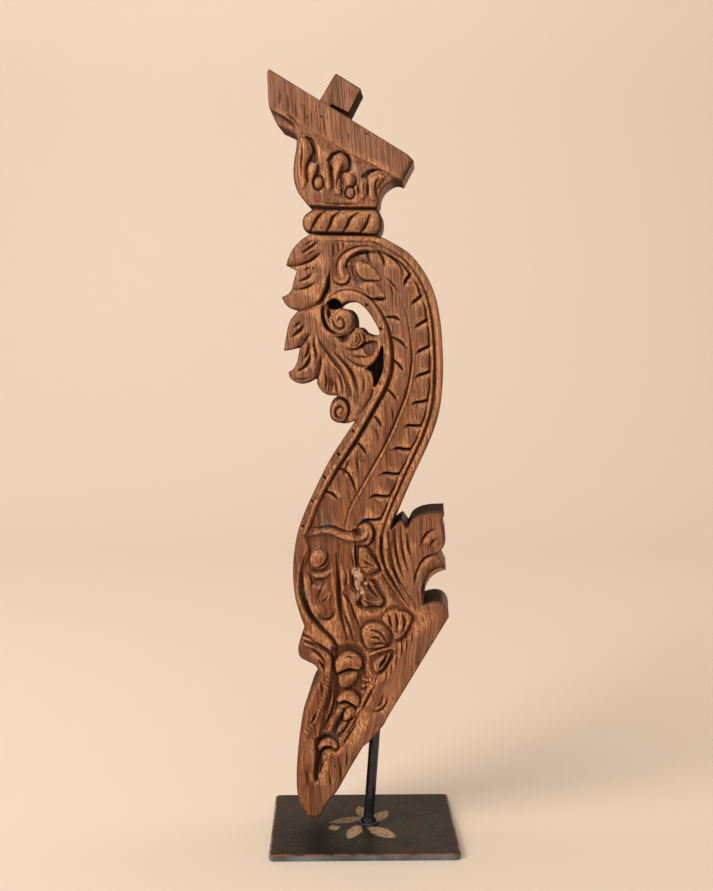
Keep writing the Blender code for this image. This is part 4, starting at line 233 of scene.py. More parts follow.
class Relief:
    """Heights of the carved face over the sawn one, in drawing millimetres: a cut is below 0."""

    def __init__(self, points):
        self.u = points[:, 0]
        self.w = points[:, 1]
        self.h = np.zeros(len(points))

    def near_box(self, line, reach, rows=slice(None)):
        """The points, out of these rows, in the box round a line."""
        low = line.min(0) - reach
        high = line.max(0) + reach
        u = self.u[rows]
        w = self.w[rows]
        return np.nonzero((u > low[0]) & (u < high[0]) & (w > low[1]) & (w < high[1]))[0]

    def measure(self, line, reach):
        """The points near a line, with their distance from it, share along it and side of it."""
        rows = self.near_box(line, reach)
        gaps, far = lengths(line)
        best = np.full(len(rows), np.inf)
        share = np.zeros(len(rows))
        side = np.zeros(len(rows))
        for first in range(0, len(gaps), GAPS_AT_ONCE):
            last = min(first + GAPS_AT_ONCE, len(gaps))
            near = self.near_box(line[first:last + 1], reach, rows)
            u = self.u[rows[near]]
            w = self.w[rows[near]]
            for k in range(first, last):
                du, dw = (line[k + 1] - line[k]) / gaps[k]
                run = np.clip((u - line[k][0]) * du + (w - line[k][1]) * dw, 0, gaps[k])
                ou = u - line[k][0] - run * du
                ow = w - line[k][1] - run * dw
                d = np.hypot(ou, ow)
                closer = d < best[near]
                best[near[closer]] = d[closer]
                share[near[closer]] = (far[k] + run[closer]) / far[-1]
                side[near[closer]] = np.sign(du * ow - dw * ou)[closer]
        keep = best < reach
        return rows[keep], best[keep], share[keep], side[keep]

    def inside(self, loop, reach):
        """The points in or near a closed line, with their distance from it, negative outside."""
        closed = np.vstack([loop, loop[:1]])
        rows = self.near_box(closed, reach)
        u = self.u[rows]
        w = self.w[rows]
        within = np.zeros(len(rows), bool)
        for a, b in zip(closed[:-1], closed[1:]):
            if a[1] != b[1]:
                crosses = (a[1] > w) != (b[1] > w)
                within ^= crosses & (u < (b[0] - a[0]) * (w - a[1]) / (b[1] - a[1]) + a[0])
        edge = np.full(len(self.u), reach)
        found, d, _, _ = self.measure(closed, reach)
        edge[found] = d
        return rows, np.where(within, edge[rows], -edge[rows])

    def profile(self, path, width, ends, step=1.5):
        """How far across and how strong a stroke is at each point near it."""
        rows, d, share, _ = self.measure(smooth(path, step), width / 2)
        size = taper(share, ends)
        across = np.clip(1 - (d / (width / 2 * np.maximum(size, 0.15))) ** 2, 0, 1)
        return rows, across, size

    def cut(self, path, gouge, ends=(0.0, 0.0), step=1.5):
        """A gouge cut. The ends say how much of its size is left at its start and its end."""
        rows, across, size = self.profile(path, gouge[0], ends, step)
        self.h[rows] -= gouge[1] * size * across

    def cuts(self, strokes):
        """Gouge cuts one after another: the path, the gouge and the ends of each."""
        for path, gouge, ends in strokes:
            self.cut(path, gouge, ends)

    def bead(self, path, width, height, ends=(0.0, 0.0), step=1.5):
        """A raised rib, round in section."""
        rows, across, size = self.profile(path, width, ends, step)
        self.h[rows] += height * size * np.sqrt(across)

    def stalk(self, path, width, height, base, ends):
        """A round stalk lying on a base height: it hides what is lower."""
        rows, across, size = self.profile(path, width, ends)
        top = base + height * size * np.sqrt(across)
        self.h[rows] = np.where(across > 0, np.maximum(self.h[rows], top), self.h[rows])

    def drop(self, path, width, depth, ends=(0.0, 0.0), wall=0.8):
        """A step down on the right of the path, which fades out over the width."""
        rows, d, share, side = self.measure(smooth(path), width)
        size = taper(share, ends)
        low = (1 - np.clip(d / (width * np.maximum(size, 0.2)), 0, 1)) ** 1.6
        self.h[rows] -= depth * size * np.where(side <= 0, low, np.clip(1 - d / wall, 0, 1))

    def level(self, path, height, soft=1.2):
        """Brings an area to a height, with an edge as wide as soft."""
        rows, d = self.inside(smooth(list(path) + [path[0]])[:-1], soft)
        self.h[rows] += (height - self.h[rows]) * ease(0.5 + d / soft)

    def swell(self, path, rise, edge):
        """Raises an area into a cushion: nothing at its edge, and rise further in than edge."""
        rows, d = self.inside(smooth(list(path) + [path[0]])[:-1], edge)
        share = np.clip(d / edge, 0, 1)
        self.h[rows] += rise * np.sqrt(1 - (1 - share) ** 2)

    def dome(self, centre, radii, height, base, angle=0.0):
        """A round knob that stands height over a base height."""
        a = math.radians(angle)
        x = (self.u - centre[0]) * math.cos(a) + (self.w - centre[1]) * math.sin(a)
        y = (self.w - centre[1]) * math.cos(a) - (self.u - centre[0]) * math.sin(a)
        off = (x / radii[0]) ** 2 + (y / radii[1]) ** 2
        rows = np.nonzero(off < 1)[0]
        self.h[rows] = np.maximum(self.h[rows], base + height * np.sqrt(1 - off[rows]))


# Lines that the carving follows.
BACK_LINE = smooth([(-34, 566.6), (-12, 565.4)] + S_BACK + [
    (20.4, 287.0), (20.8, 275.0), (24.6, 262.6), (31.5, 250.6), (39.5, 238.0), (47.0, 227.0),
])
INNER_LINE = smooth([
    (-38, 500), (-33, 509.6), (-27, 513.6), (-18, 515.6), (-8, 513.8), (2.4, 508), (11.5, 497),
    (18.4, 483.5), (21.8, 470), (22.9, 456), (21.8, 441), (16.5, 426), (6.4, 407.5), (-9.5, 379.8),
    (-28.4, 350), (-44.2, 320), (-49.6, 305.4), (-54.4, 292.6),
])
MIDRIB = [
    (13.5, 531), (20.5, 524), (27.5, 515), (33, 503.5), (37.5, 490.5), (40.5, 472.5), (42, 454.5),
    (40.5, 438.5), (37, 422), (30, 403), (19, 377.5), (4.5, 351), (-9, 327), (-15.5, 314), (-19, 298),
]
# How far in from the back line the groove, the bead and the scales are.
GROOVE_INSET = 7.2
BEAD_INSET = 10.0
SCALE_INSET = 11.8
# Where the lower corner of each scale is along the back line.
SCALE_ENDS = (91.0, 115.7, 140.3, 165.2, 189.0, 216.6, 242.7, 267.7, 292.2, 314.4, 336.4)
# The worm holes along the inner rail: how many, where the first is, how far apart they are, and the
# one that is missing.
WORM_HOLES = 12
FIRST_HOLE = 40
HOLE_GAP = 25.0
MISSING_HOLE = 4
# The two hanging drops of the capital: middle, then half width and half height.
DROPS = (((-43.7, 610.4), (4.6, 6.2)), ((-15.3, 601.4), (4.2, 5.2)))


def carve_block(r):
    """The block above stays plain: all that is under its slanting lower edge is set back."""
    edge = [
        (-90, 677.5), (-86.7, 675.4), (-73, 667.6), (-56.7, 659), (-43, 651.7), (-27.8, 643.3),
        (-13.3, 634.8), (1.1, 627.2), (15.6, 619.6), (30, 611.4), (34, 608.6),
    ]
    below = [(52, 590), (90, 560), (90, 300), (90, 10), (0, -10), (-110, 10), (-120, 300), (-110, 620)]
    r.level(edge + below, -2.2, soft=1.4)
    r.bead([(-84, 672.6), (-54, 656), (-22, 638.4), (-8, 630.4), (18, 616.4)], 5.0, 0.9, ends=(0.3, 0.2))
    r.drop([(-87, 674.5), (-75, 668), (-66, 662.5), (-58, 657.5)], 16, 1.6, ends=(0.8, 0.0), wall=0.6)
    for path in (
        [(-82, 672), (-72, 666), (-64, 658), (-61.5, 653)],
        [(-75, 671), (-65, 665), (-59, 656)],
    ):
        r.cut(path, FINE, ends=(0.1, 0.1))
    for crack in (
        [(-78.5, 696), (-77, 686), (-78.5, 674)],
        [(-71, 691), (-70, 679), (-70.5, 666)],
        [(-64, 687.5), (-63, 673.5), (-63.5, 659.5)],
        [(-57, 684), (-55.5, 672), (-54.5, 656)],
        [(-50, 679.5), (-49, 666.5), (-49, 654.5)],
        [(-39, 672.5), (-37.5, 660.5), (-36.5, 647.5)],
        [(-18, 657.5), (-16, 648), (-16, 641)],
        [(-4, 655.5), (0, 652), (5, 650.5)],
    ):
        r.cut(crack, (1.5, 1.3), ends=(0.1, 0.0), step=0.8)


def carve_drop(r, centre, radii):
    """A hanging drop of wood in a sunk ring."""
    ring = np.array(centre) + spiral((0, 0), 1, 1, 0, 345, 24) * (np.array(radii) + 0.6)
    r.level(ring.tolist(), -7.0, soft=1.2)
    r.dome(centre, radii, 4.6, -6.6)


def carve_capital(r):
    """The bell between the block and the ring, with upright leaves and two drops."""
    bell = [
        (-66, 652), (-50, 651), (-30, 640), (-10, 629.5), (8, 620), (16, 612), (10, 598), (7, 586.5),
        (-50, 588), (-66, 604), (-70, 625),
    ]
    r.level(bell, -3.4, soft=6)
    # The foot of the bell curves in over the ring.
    low = np.nonzero((r.w < 603) & (r.w > 584) & (r.u < 12))[0]
    turn = np.clip((601 - r.w[low]) / 15.5, 0, 1)
    r.h[low] -= 3.4 * (1 - np.sqrt(1 - turn ** 2))
    for ground, height in (
        ([(-55.5, 651), (-52, 647.5), (-48.5, 640.5), (-47.5, 633.5), (-51, 630), (-46.5, 627.5),
            (-44, 631.5), (-45.5, 641.5), (-49, 649)], -6.4),
        ([(-36, 630), (-32, 636), (-27, 637), (-24, 637), (-29.5, 634), (-32, 628), (-30.5, 621),
            (-32.5, 621), (-34, 626.5)], -7.0),
        ([(-20.5, 635), (-17, 630), (-16, 623), (-20, 619.5), (-13.5, 621), (-13.5, 629.5), (-17, 635)],
         -5.6),
        ([(-5.5, 615.5), (-2, 619), (3.5, 622), (8.5, 621.5), (3.5, 619), (0.5, 615), (0.5, 611.5),
            (-1, 613)], -6.8),
    ):
        r.level(ground, height, soft=1.4)
    for leaf, rise, edge in (
        ([(-62.5, 639), (-59, 651), (-54.5, 649), (-51, 640.5), (-51, 632), (-53.5, 623),
            (-54.5, 607.5), (-58, 604), (-62, 616)], 2.4, 6),
        ([(-53, 625), (-49, 629), (-44.5, 628), (-44, 623), (-46.5, 616), (-49.5, 609), (-52, 611),
            (-53.5, 617)], 2.6, 4),
        ([(-41, 623), (-38.5, 628), (-35, 625.5), (-32.5, 616), (-31.5, 605.5), (-35, 602),
            (-38.5, 609), (-41, 616)], 2.4, 4),
        ([(-31.5, 624.5), (-28, 633.5), (-23.5, 635.5), (-19, 631.5), (-18, 625.5), (-22.5, 619.5),
            (-23.5, 610.5), (-22.5, 600), (-29.5, 599.5), (-30.5, 612.5)], 3.2, 6),
        ([(-21.5, 614), (-18, 619.5), (-12.5, 617.5), (-12, 611.5), (-15.5, 606), (-19, 607)], 2.4, 4),
        ([(-8, 607), (-5.5, 614), (-2, 612), (0, 605), (-2, 596.5), (-6.5, 595.5)], 2.4, 4),
        ([(0.5, 610.5), (3.5, 617.5), (10.5, 619), (16, 615.5), (11.5, 608.5), (8, 601.5), (8, 594.5),
            (2.5, 594.5)], 3.0, 6),
    ):
        r.swell(leaf, rise, edge)
    r.cuts((
        ([(-60, 649.5), (-58, 639), (-59, 625), (-57.5, 611)], SMALL, (0.2, 0.2)),
        ([(-55.5, 651), (-50, 644), (-48, 637), (-52, 630), (-54.5, 623), (-55.5, 614.5)],
         BROAD, (0.2, 0.2)),
        ([(-54, 619.5), (-53.5, 612.5), (-51, 609)], FINE, (0.3, 0.1)),
        ([(-44, 630), (-43, 623), (-47.5, 615), (-48.5, 609), (-46.5, 604.5), (-43, 603)],
         SMALL, (0.3, 0.4)),
        ([(-43, 621), (-39.5, 610.5), (-38.5, 603.5)], FINE, (0.4, 0.1)),
        ([(-36.5, 630), (-33, 623), (-31.5, 616), (-30.5, 607)], SMALL, (0.1, 0.2)),
        ([(-35, 630), (-30.5, 636), (-24, 637.5), (-19, 635), (-16, 629), (-17, 622), (-21.5, 619.5),
            (-23.5, 614), (-21.5, 609)], MEDIUM, (0.2, 0.5)),
        ([(-22.5, 632.5), (-21.5, 626.5), (-25, 617.5), (-27, 609), (-27, 600)], MEDIUM, (0.2, 0.1)),
        ([(-12, 618.5), (-10, 611.5), (-13.5, 606), (-18, 603.5), (-19, 599)], MEDIUM, (0.3, 0.4)),
        ([(-23.5, 607), (-22.5, 598.5)], FINE, (0.2, 0.1)),
        ([(-9, 610.5), (-8, 603.5), (-8, 597.5)], SMALL, (0.2, 0.2)),
        ([(0, 612), (0.5, 605), (0, 597.5)], SMALL, (0.3, 0.2)),
        ([(-4, 613), (-3, 605), (-3.5, 598)], FINE, (0.1, 0.1)),
        ([(-1, 615.5), (4, 620), (11.5, 621), (16.5, 618)], SMALL, (0.2, 0.0)),
        ([(14, 615.5), (8.5, 612), (7, 606), (8.5, 599), (10.5, 594.5)], SMALL, (0.1, 0.3)),
        ([(-48.5, 596), (-37.5, 592.5), (-20, 591.5), (2.5, 592)], FINE, (0.1, 0.1)),
        ([(-50, 589), (-33, 588), (-15.5, 587.5), (9.5, 587)], DEEP, (1, 1)),
    ))
    r.bead([(-56.5, 646), (-56, 633.5), (-57, 621.5), (-56.5, 609)], 2.4, 1.2, ends=(0.3, 0.3))
    carve_drop(r, *DROPS[0])
    carve_drop(r, *DROPS[1])


def carve_ring(r):
    """The rope-like ring: a half-round band cut by slanting grooves."""
    middle = 575.2
    half = 11.4
    rows = np.nonzero((np.abs(r.w - middle) < half) & (r.u > -62) & (r.u < 16))[0]
    across = (r.w[rows] - middle) / half
    r.h[rows] = -1.2 - 7.4 * (1 - np.sqrt(1 - across ** 2))
    for path in (
        [(-37.5, 586), (-43, 581), (-47.5, 574), (-51, 567)],
        [(-24.5, 585), (-30.5, 580), (-33.5, 572), (-37, 567)],
        [(-8, 584), (-14.5, 579), (-18, 572), (-22.5, 566)],
        [(2.5, 581.5), (0.5, 576.5), (-2, 571), (-6.5, 566)],
    ):
        r.cut(path, BROAD, ends=(0.6, 0.6))
        r.drop(path, 9.0, 1.8, ends=(0.5, 0.5), wall=0.6)
    r.cut([(-55, 566.2), (-30, 565.4), (-8, 564.6), (12, 562.6)], DEEP, ends=(0.8, 0.8))


def carve_body(r):
    """The sunk field of the S-shaped body, between its edge band and its inner rail."""
    field = [
        (-30, 561), (-5, 559.5), (14, 554.5), (30, 544), (43, 529), (52.6, 510), (58.6, 484), (60.2, 455),
        (59, 430), (54.6, 402), (43.6, 371), (29.6, 339), (18.6, 313), (6, 296), (-20, 291), (-50, 294),
        (-46, 312), (-33, 340), (-15, 370), (5, 405), (20, 430), (24, 455), (22, 478), (12, 500),
        (-4, 514), (-20, 517), (-34, 512), (-38, 530),
    ]
    r.level(field, -4.0, soft=3)
    r.level([
        (-44, 563), (-28, 562), (-10, 557), (-22, 551), (-29, 541), (-31, 531), (-36, 520), (-40, 530),
    ], -2.4, soft=5)


def border(distance, inset):
    """A place in from the back line, at a distance along it."""
    point, run = along(BACK_LINE, distance)
    return point + np.array([run[1], -run[0]]) * inset


def carve_scales(r):
    """The scales down the right of the midrib, each over the next, and the cuts on its left."""
    start = 58.0
    for k, end in enumerate(SCALE_ENDS):
        grow = k / (len(SCALE_ENDS) - 1)
        corner = border(end + 0.6, SCALE_INSET + 0.4 + grow)
        turn = border(end + 2.8, SCALE_INSET + 5.4 + grow)
        knee = border(end + 5, SCALE_INSET + 8.4 + 6 * grow)
        tip = border(end + 8.6 + 2.5 * grow, SCALE_INSET + 10.6 + 9 * grow)
        edge = [
            border(start, SCALE_INSET + 0.4),
            border((start + end) / 2, SCALE_INSET - 0.3),
            border(end - 7, SCALE_INSET),
            corner,
        ]
        tail = [corner, turn, knee, tip]
        r.drop((edge + tail[1:])[::-1], 4.4, 1.5, ends=(0.2, 0.3), wall=0.4)
        r.drop(tail[::-1], 13, 2.0, ends=(0.2, 0.8), wall=0.4)
        r.cut(edge, FINE, ends=(0.3, 1.0))
        r.cut(tail, CRESCENT, ends=(1.0, 0.0))
        start = end + 3.5
    for path in (
        [(8, 507), (13.5, 507), (18.5, 509)],
        [(18, 491.5), (25, 491), (32, 486.5)],
        [(23.5, 473), (30.5, 469), (38, 460)],
        [(25, 452), (29.5, 447.5), (34.5, 441)],
        [(19.5, 425.5), (24.5, 420), (28, 414)],
        [(7.5, 401), (11, 396.5), (14, 389.5)],
        [(-7.5, 376.5), (-3.5, 372), (0.5, 364.5)],
        [(-23.5, 353.5), (-18, 350), (-13.5, 342.5), (-9, 327.5)],
        [(-38.5, 333), (-31, 329.5), (-24.5, 323)],
    ):
        r.cut(path, CRESCENT, ends=(0.8, 0.0))
        r.drop(path, 8, 1.0, ends=(0.9, 0.1), wall=0.4)
    for path in (
        [(22.5, 413), (23.5, 398.5), (22.5, 395)],
        [(-10, 369), (-9, 357), (-6.5, 345.5)],
        [(-13.5, 366.5), (-19, 355.5), (-23, 343.5)],
        [(11, 460), (17, 442), (20, 425.5)],
        [(4.5, 394.5), (10, 384), (10, 374.5)],
    ):
        r.cut(path, FINE, ends=(0.1, 0.1))
    r.drop(MIDRIB, 8.0, 1.6, ends=(0.2, 0.5), wall=0.4)
    r.cut(beside(smooth(MIDRIB), -1.8, 0.03)[::6], FINE, ends=(0.2, 0.4))
    r.bead(MIDRIB, 2.4, 1.8, ends=(0.2, 0.6))


def carve_rails(r):
    """The groove and bead inside the back edge, and the inner rail with its worm holes."""
    r.cut(beside(BACK_LINE, -GROOVE_INSET)[4::6], (3.6, 3.2), ends=(0.3, 0.3))
    r.bead(beside(BACK_LINE, -BEAD_INSET, 0.04)[::6], 3.4, 1.6, ends=(0.3, 0.5))
    r.bead(beside(INNER_LINE, -3.4, 0.06)[::6], 3.6, 1.4, ends=(0.2, 0.6))
    r.bead(beside(INNER_LINE, -10.5, 0.3)[::6], 2.4, 0.8, ends=(0.2, 0.6))
    r.cut(INNER_LINE[::6], DEEP, ends=(0.3, 0.4))
    holes = beside(INNER_LINE, -6.4)
    for k in range(WORM_HOLES):
        point = along(holes, FIRST_HOLE + HOLE_GAP * k)[0]
        if k != MISSING_HOLE:
            r.cut([point - (0.9, -0.9), point + (0.9, -0.9)], (2.6, 3.4), ends=(0.8, 0.5), step=0.4)


def carve_hook(r):
    """The hooked stalk at the head of the body, and the leaves under it."""
    r.stalk([
        (16, 549.0), (4, 551.6), (-8, 550.4), (-17, 546.2), (-22.6, 539.6), (-23.6, 532.6),
        (-21.8, 527.4),
    ], 7.4, 3.6, -5.4, ends=(0.3, 0.9))
    r.stalk([
        (-30.6, 532.5), (-29, 526), (-24.6, 522.8), (-19.6, 523.6), (-17, 528),
    ], 5.4, 2.8, -5.0, ends=(0.4, 0.8))
    r.level([
        (-14.5, 540), (-11, 547), (-4.5, 550), (1, 550), (1.5, 543), (-1, 540), (-8, 541),
    ], -6.2, soft=2)
    r.level([
        (-15.5, 536.5), (-12.5, 540), (-11, 532), (-6.5, 525), (-2, 523.5), (-8, 520.5), (-13.5, 527.5),
    ], -6.2, soft=2)
    r.swell([
        (-12, 540), (-6.5, 542), (1, 540), (8, 534), (12.5, 524), (4.5, 523.5), (-3.5, 524), (-9, 530.5),
    ], 2.4, 6)
    r.swell([
        (-8, 519), (-3, 523), (4.5, 523.5), (10.5, 519.5), (17, 509), (10, 508), (2.5, 508),
        (-3.5, 512.5),
    ], 1.8, 6)
    r.cuts((
        ([(-18.6, 536), (-17.4, 541.8), (-10, 547.6), (-0.6, 549.4), (12.4, 547.4)],
         (3.8, 3.8), (0.6, 0.3)),
        ([(-1, 550), (9.5, 550), (18.5, 546.5), (26, 541), (30.5, 534.5), (32, 527.5), (31, 519.5)],
         (2.8, 3.0), (0.3, 0.1)),
        ([(-26.6, 528), (-27.6, 537), (-23.6, 546), (-14, 552.2), (-3, 554.4), (8, 553), (18, 548.6)],
         (1.8, 1.6), (0.5, 0.0)),
        ([(-19.4, 537), (-16.2, 531), (-15.6, 526), (-18.6, 521.2), (-24.6, 520.2), (-29.6, 523),
            (-32.2, 529)], SMALL, (0.6, 0.2)),
        ([(-11, 541), (-4.5, 541), (1, 539), (6, 535.5)], FINE, (0.2, 0.3)),
        ([(0, 549), (1.5, 543), (6, 536.5)], SMALL, (0.9, 0.0)),
        ([(10.5, 549), (14, 543.5), (16, 534)], MEDIUM, (0.8, 0.0)),
        ([(-30.5, 560.5), (-30.5, 550), (-29.5, 540)], FINE, (0.3, 0.0)),
        ([(-26, 561), (-26, 552.5), (-25, 545.5)], FINE, (0.3, 0.0)),
        ([(-21.5, 561), (-21.5, 555), (-21, 550)], FINE, (0.3, 0.0)),
        ([(-12, 535.5), (-8, 528.5), (-3, 524), (4.5, 523.5), (12.5, 524)], SMALL, (0.1, 0.2)),
        ([(-3, 511), (4.5, 507.5), (10, 507.5), (17, 509)], SMALL, (0.2, 0.1)),
        ([(12.5, 528.5), (18.5, 525), (26, 517), (30.5, 510)], FINE, (0.1, 0.3)),
        ([(18.5, 522.5), (22.5, 513.5), (22.5, 506.5)], FINE, (0.1, 0.1)),
    ))


def carve_crest_leaves(r):
    """The crest's overlapping leaves down the left side, with their veins."""
    edge = [
        (-52, 566), (-40, 562), (-33.5, 548), (-31.5, 534), (-34.4, 521), (-40, 510), (-44, 503.5),
        (-40.5, 496), (-39, 486), (-33, 478.6), (-28, 474), (-24, 464), (-20, 455), (-12, 447), (-4, 446),
        (4, 441), (5.6, 433), (3, 422), (-4, 408), (-12, 397), (-60, 380), (-90, 420), (-90, 520),
        (-84, 560),
    ]
    r.level(edge, -1.4, soft=3.0)
    for path, width, depth, ends, wall in (
        ([(-55, 496.5), (-47, 501.5), (-40.5, 508.5), (-36.5, 517), (-34.5, 527), (-32.5, 536)],
         8.0, 6.0, (0.2, 0.0), 1.4),
        ([(-38.5, 551.5), (-44, 546.5), (-51.5, 541), (-60.5, 537.5), (-71, 536)],
         7.0, 3.6, (0.0, 0.9), 0.8),
        ([(-45, 523.5), (-51.5, 519), (-58.5, 516.5), (-66, 515.5)], 6.0, 2.2, (0.0, 0.6), 0.8),
        ([(-42.5, 506.5), (-49.5, 501), (-57, 497.5), (-64, 496.5)], 6.0, 2.6, (0.2, 0.8), 1.0),
        ([(-17.5, 416.5), (-19, 430), (-23.5, 442), (-30, 450), (-37, 460), (-42.5, 468), (-44.5, 481.5)],
         8.0, 3.4, (0.4, 0.1), 0.8),
        ([(-50, 479.5), (-55.5, 469.5), (-60.5, 463.5)], 7.0, 3.4, (0.0, 0.9), 0.8),
        ([(-41.5, 460), (-41.5, 450.5), (-42.5, 443.5), (-44.5, 435.5)], 6.0, 4.0, (0.0, 0.9), 0.8),
        ([(-9, 414.5), (-9, 423.5), (-12, 433), (-15.5, 442), (-22.5, 451), (-31, 460), (-38, 468)],
         6.0, 2.6, (0.3, 0.0), 0.8),
        ([(-3, 447), (3.5, 434.5), (5.5, 424), (-1, 411), (-8, 402)], 5.0, 2.4, (0.2, 0.5), 0.8),
    ):
        r.drop(path, width, depth, ends, wall)
    r.cuts((
        ([(-32.5, 536.5), (-34.5, 527), (-37, 517), (-41.5, 508), (-48, 502)], DEEP, (0.2, 0.1)),
        ([(-43, 559.5), (-49.5, 554.5), (-57.5, 549)], MEDIUM, (0.1, 0.7)),
        ([(-46, 552), (-50.5, 548.5), (-55, 545.5)], FINE, (0.1, 0.2)),
        ([(-48.5, 560), (-53, 557), (-56.5, 554.5)], FINE, (0.1, 0.2)),
        ([(-38.5, 551.5), (-44, 546.5), (-51.5, 541), (-60.5, 537.5)], SMALL, (0.1, 0.5)),
        ([(-48, 532.5), (-53, 527), (-60.5, 523.5)], MEDIUM, (0.1, 0.7)),
        ([(-50.5, 536), (-54, 534.5), (-57.5, 533)], FINE, (0.1, 0.2)),
        ([(-45, 524.5), (-50.5, 519.5), (-58, 516.5), (-64, 516)], SMALL, (0.1, 0.2)),
        ([(-59.5, 488.5), (-62.5, 485), (-66, 482)], SMALL, (0.1, 0.5)),
        ([(-56, 486.5), (-59.5, 480.5), (-63.5, 477), (-67, 474)], BROAD, (0.1, 0.6)),
        ([(-55, 470.5), (-52.5, 465), (-54.5, 458), (-59, 451.5)], MEDIUM, (0.4, 0.2)),
        ([(-51, 460.5), (-52.5, 452.5), (-57, 446), (-61.5, 443.5)], BROAD, (0.2, 0.6)),
        ([(-46, 478), (-48, 466), (-45.5, 456), (-46.5, 445.5)], SMALL, (0.1, 0.2)),
        ([(-69, 438), (-63.5, 435.5), (-56.5, 435.5), (-50, 438)], FINE, (0.1, 0.1)),
        ([(-30, 447), (-24.5, 437), (-22, 425.5), (-22.5, 418)], SMALL, (0.1, 0.2)),
        ([(-36, 467), (-30, 460.5), (-22, 451.5), (-14.5, 442.5), (-10, 433), (-8, 423), (-9, 413.5)],
         FINE, (0.1, 0.3)),
        ([(-21, 436.5), (-15.5, 425.5), (-14.5, 414.5)], FINE, (0.1, 0.1)),
        ([(-4.5, 442), (-2.5, 431), (-5.5, 418.5)], FINE, (0.1, 0.1)),
    ))
    for path in (
        [(-39, 443.5), (-36.5, 434.5), (-38, 424.5)],
        [(-32.5, 440), (-31, 431), (-33.5, 422)],
        [(-35.5, 441.5), (-33.5, 432.5), (-35.5, 422.5)],
        [(-29, 436.5), (-28, 427.5), (-26.5, 421)],
    ):
        r.cut(path, SMALL, ends=(0.2, 0.3))
    for path, width, height, ends in (
        ([(-44.5, 486.5), (-45.5, 470.5), (-43.5, 460), (-46.5, 447), (-53.5, 438)],
         4.0, 1.2, (0.1, 0.1)),
        ([(-40, 472.5), (-32.5, 460), (-23.5, 450), (-16.5, 438), (-12.5, 425.5), (-13.5, 413)],
         4.4, 1.8, (0.1, 0.2)),
        ([(-38, 466), (-31, 458), (-22.5, 449), (-15.5, 440), (-12, 431), (-10, 422)],
         2.0, 0.9, (0.1, 0.1)),
    ):
        r.bead(path, width, height, ends)


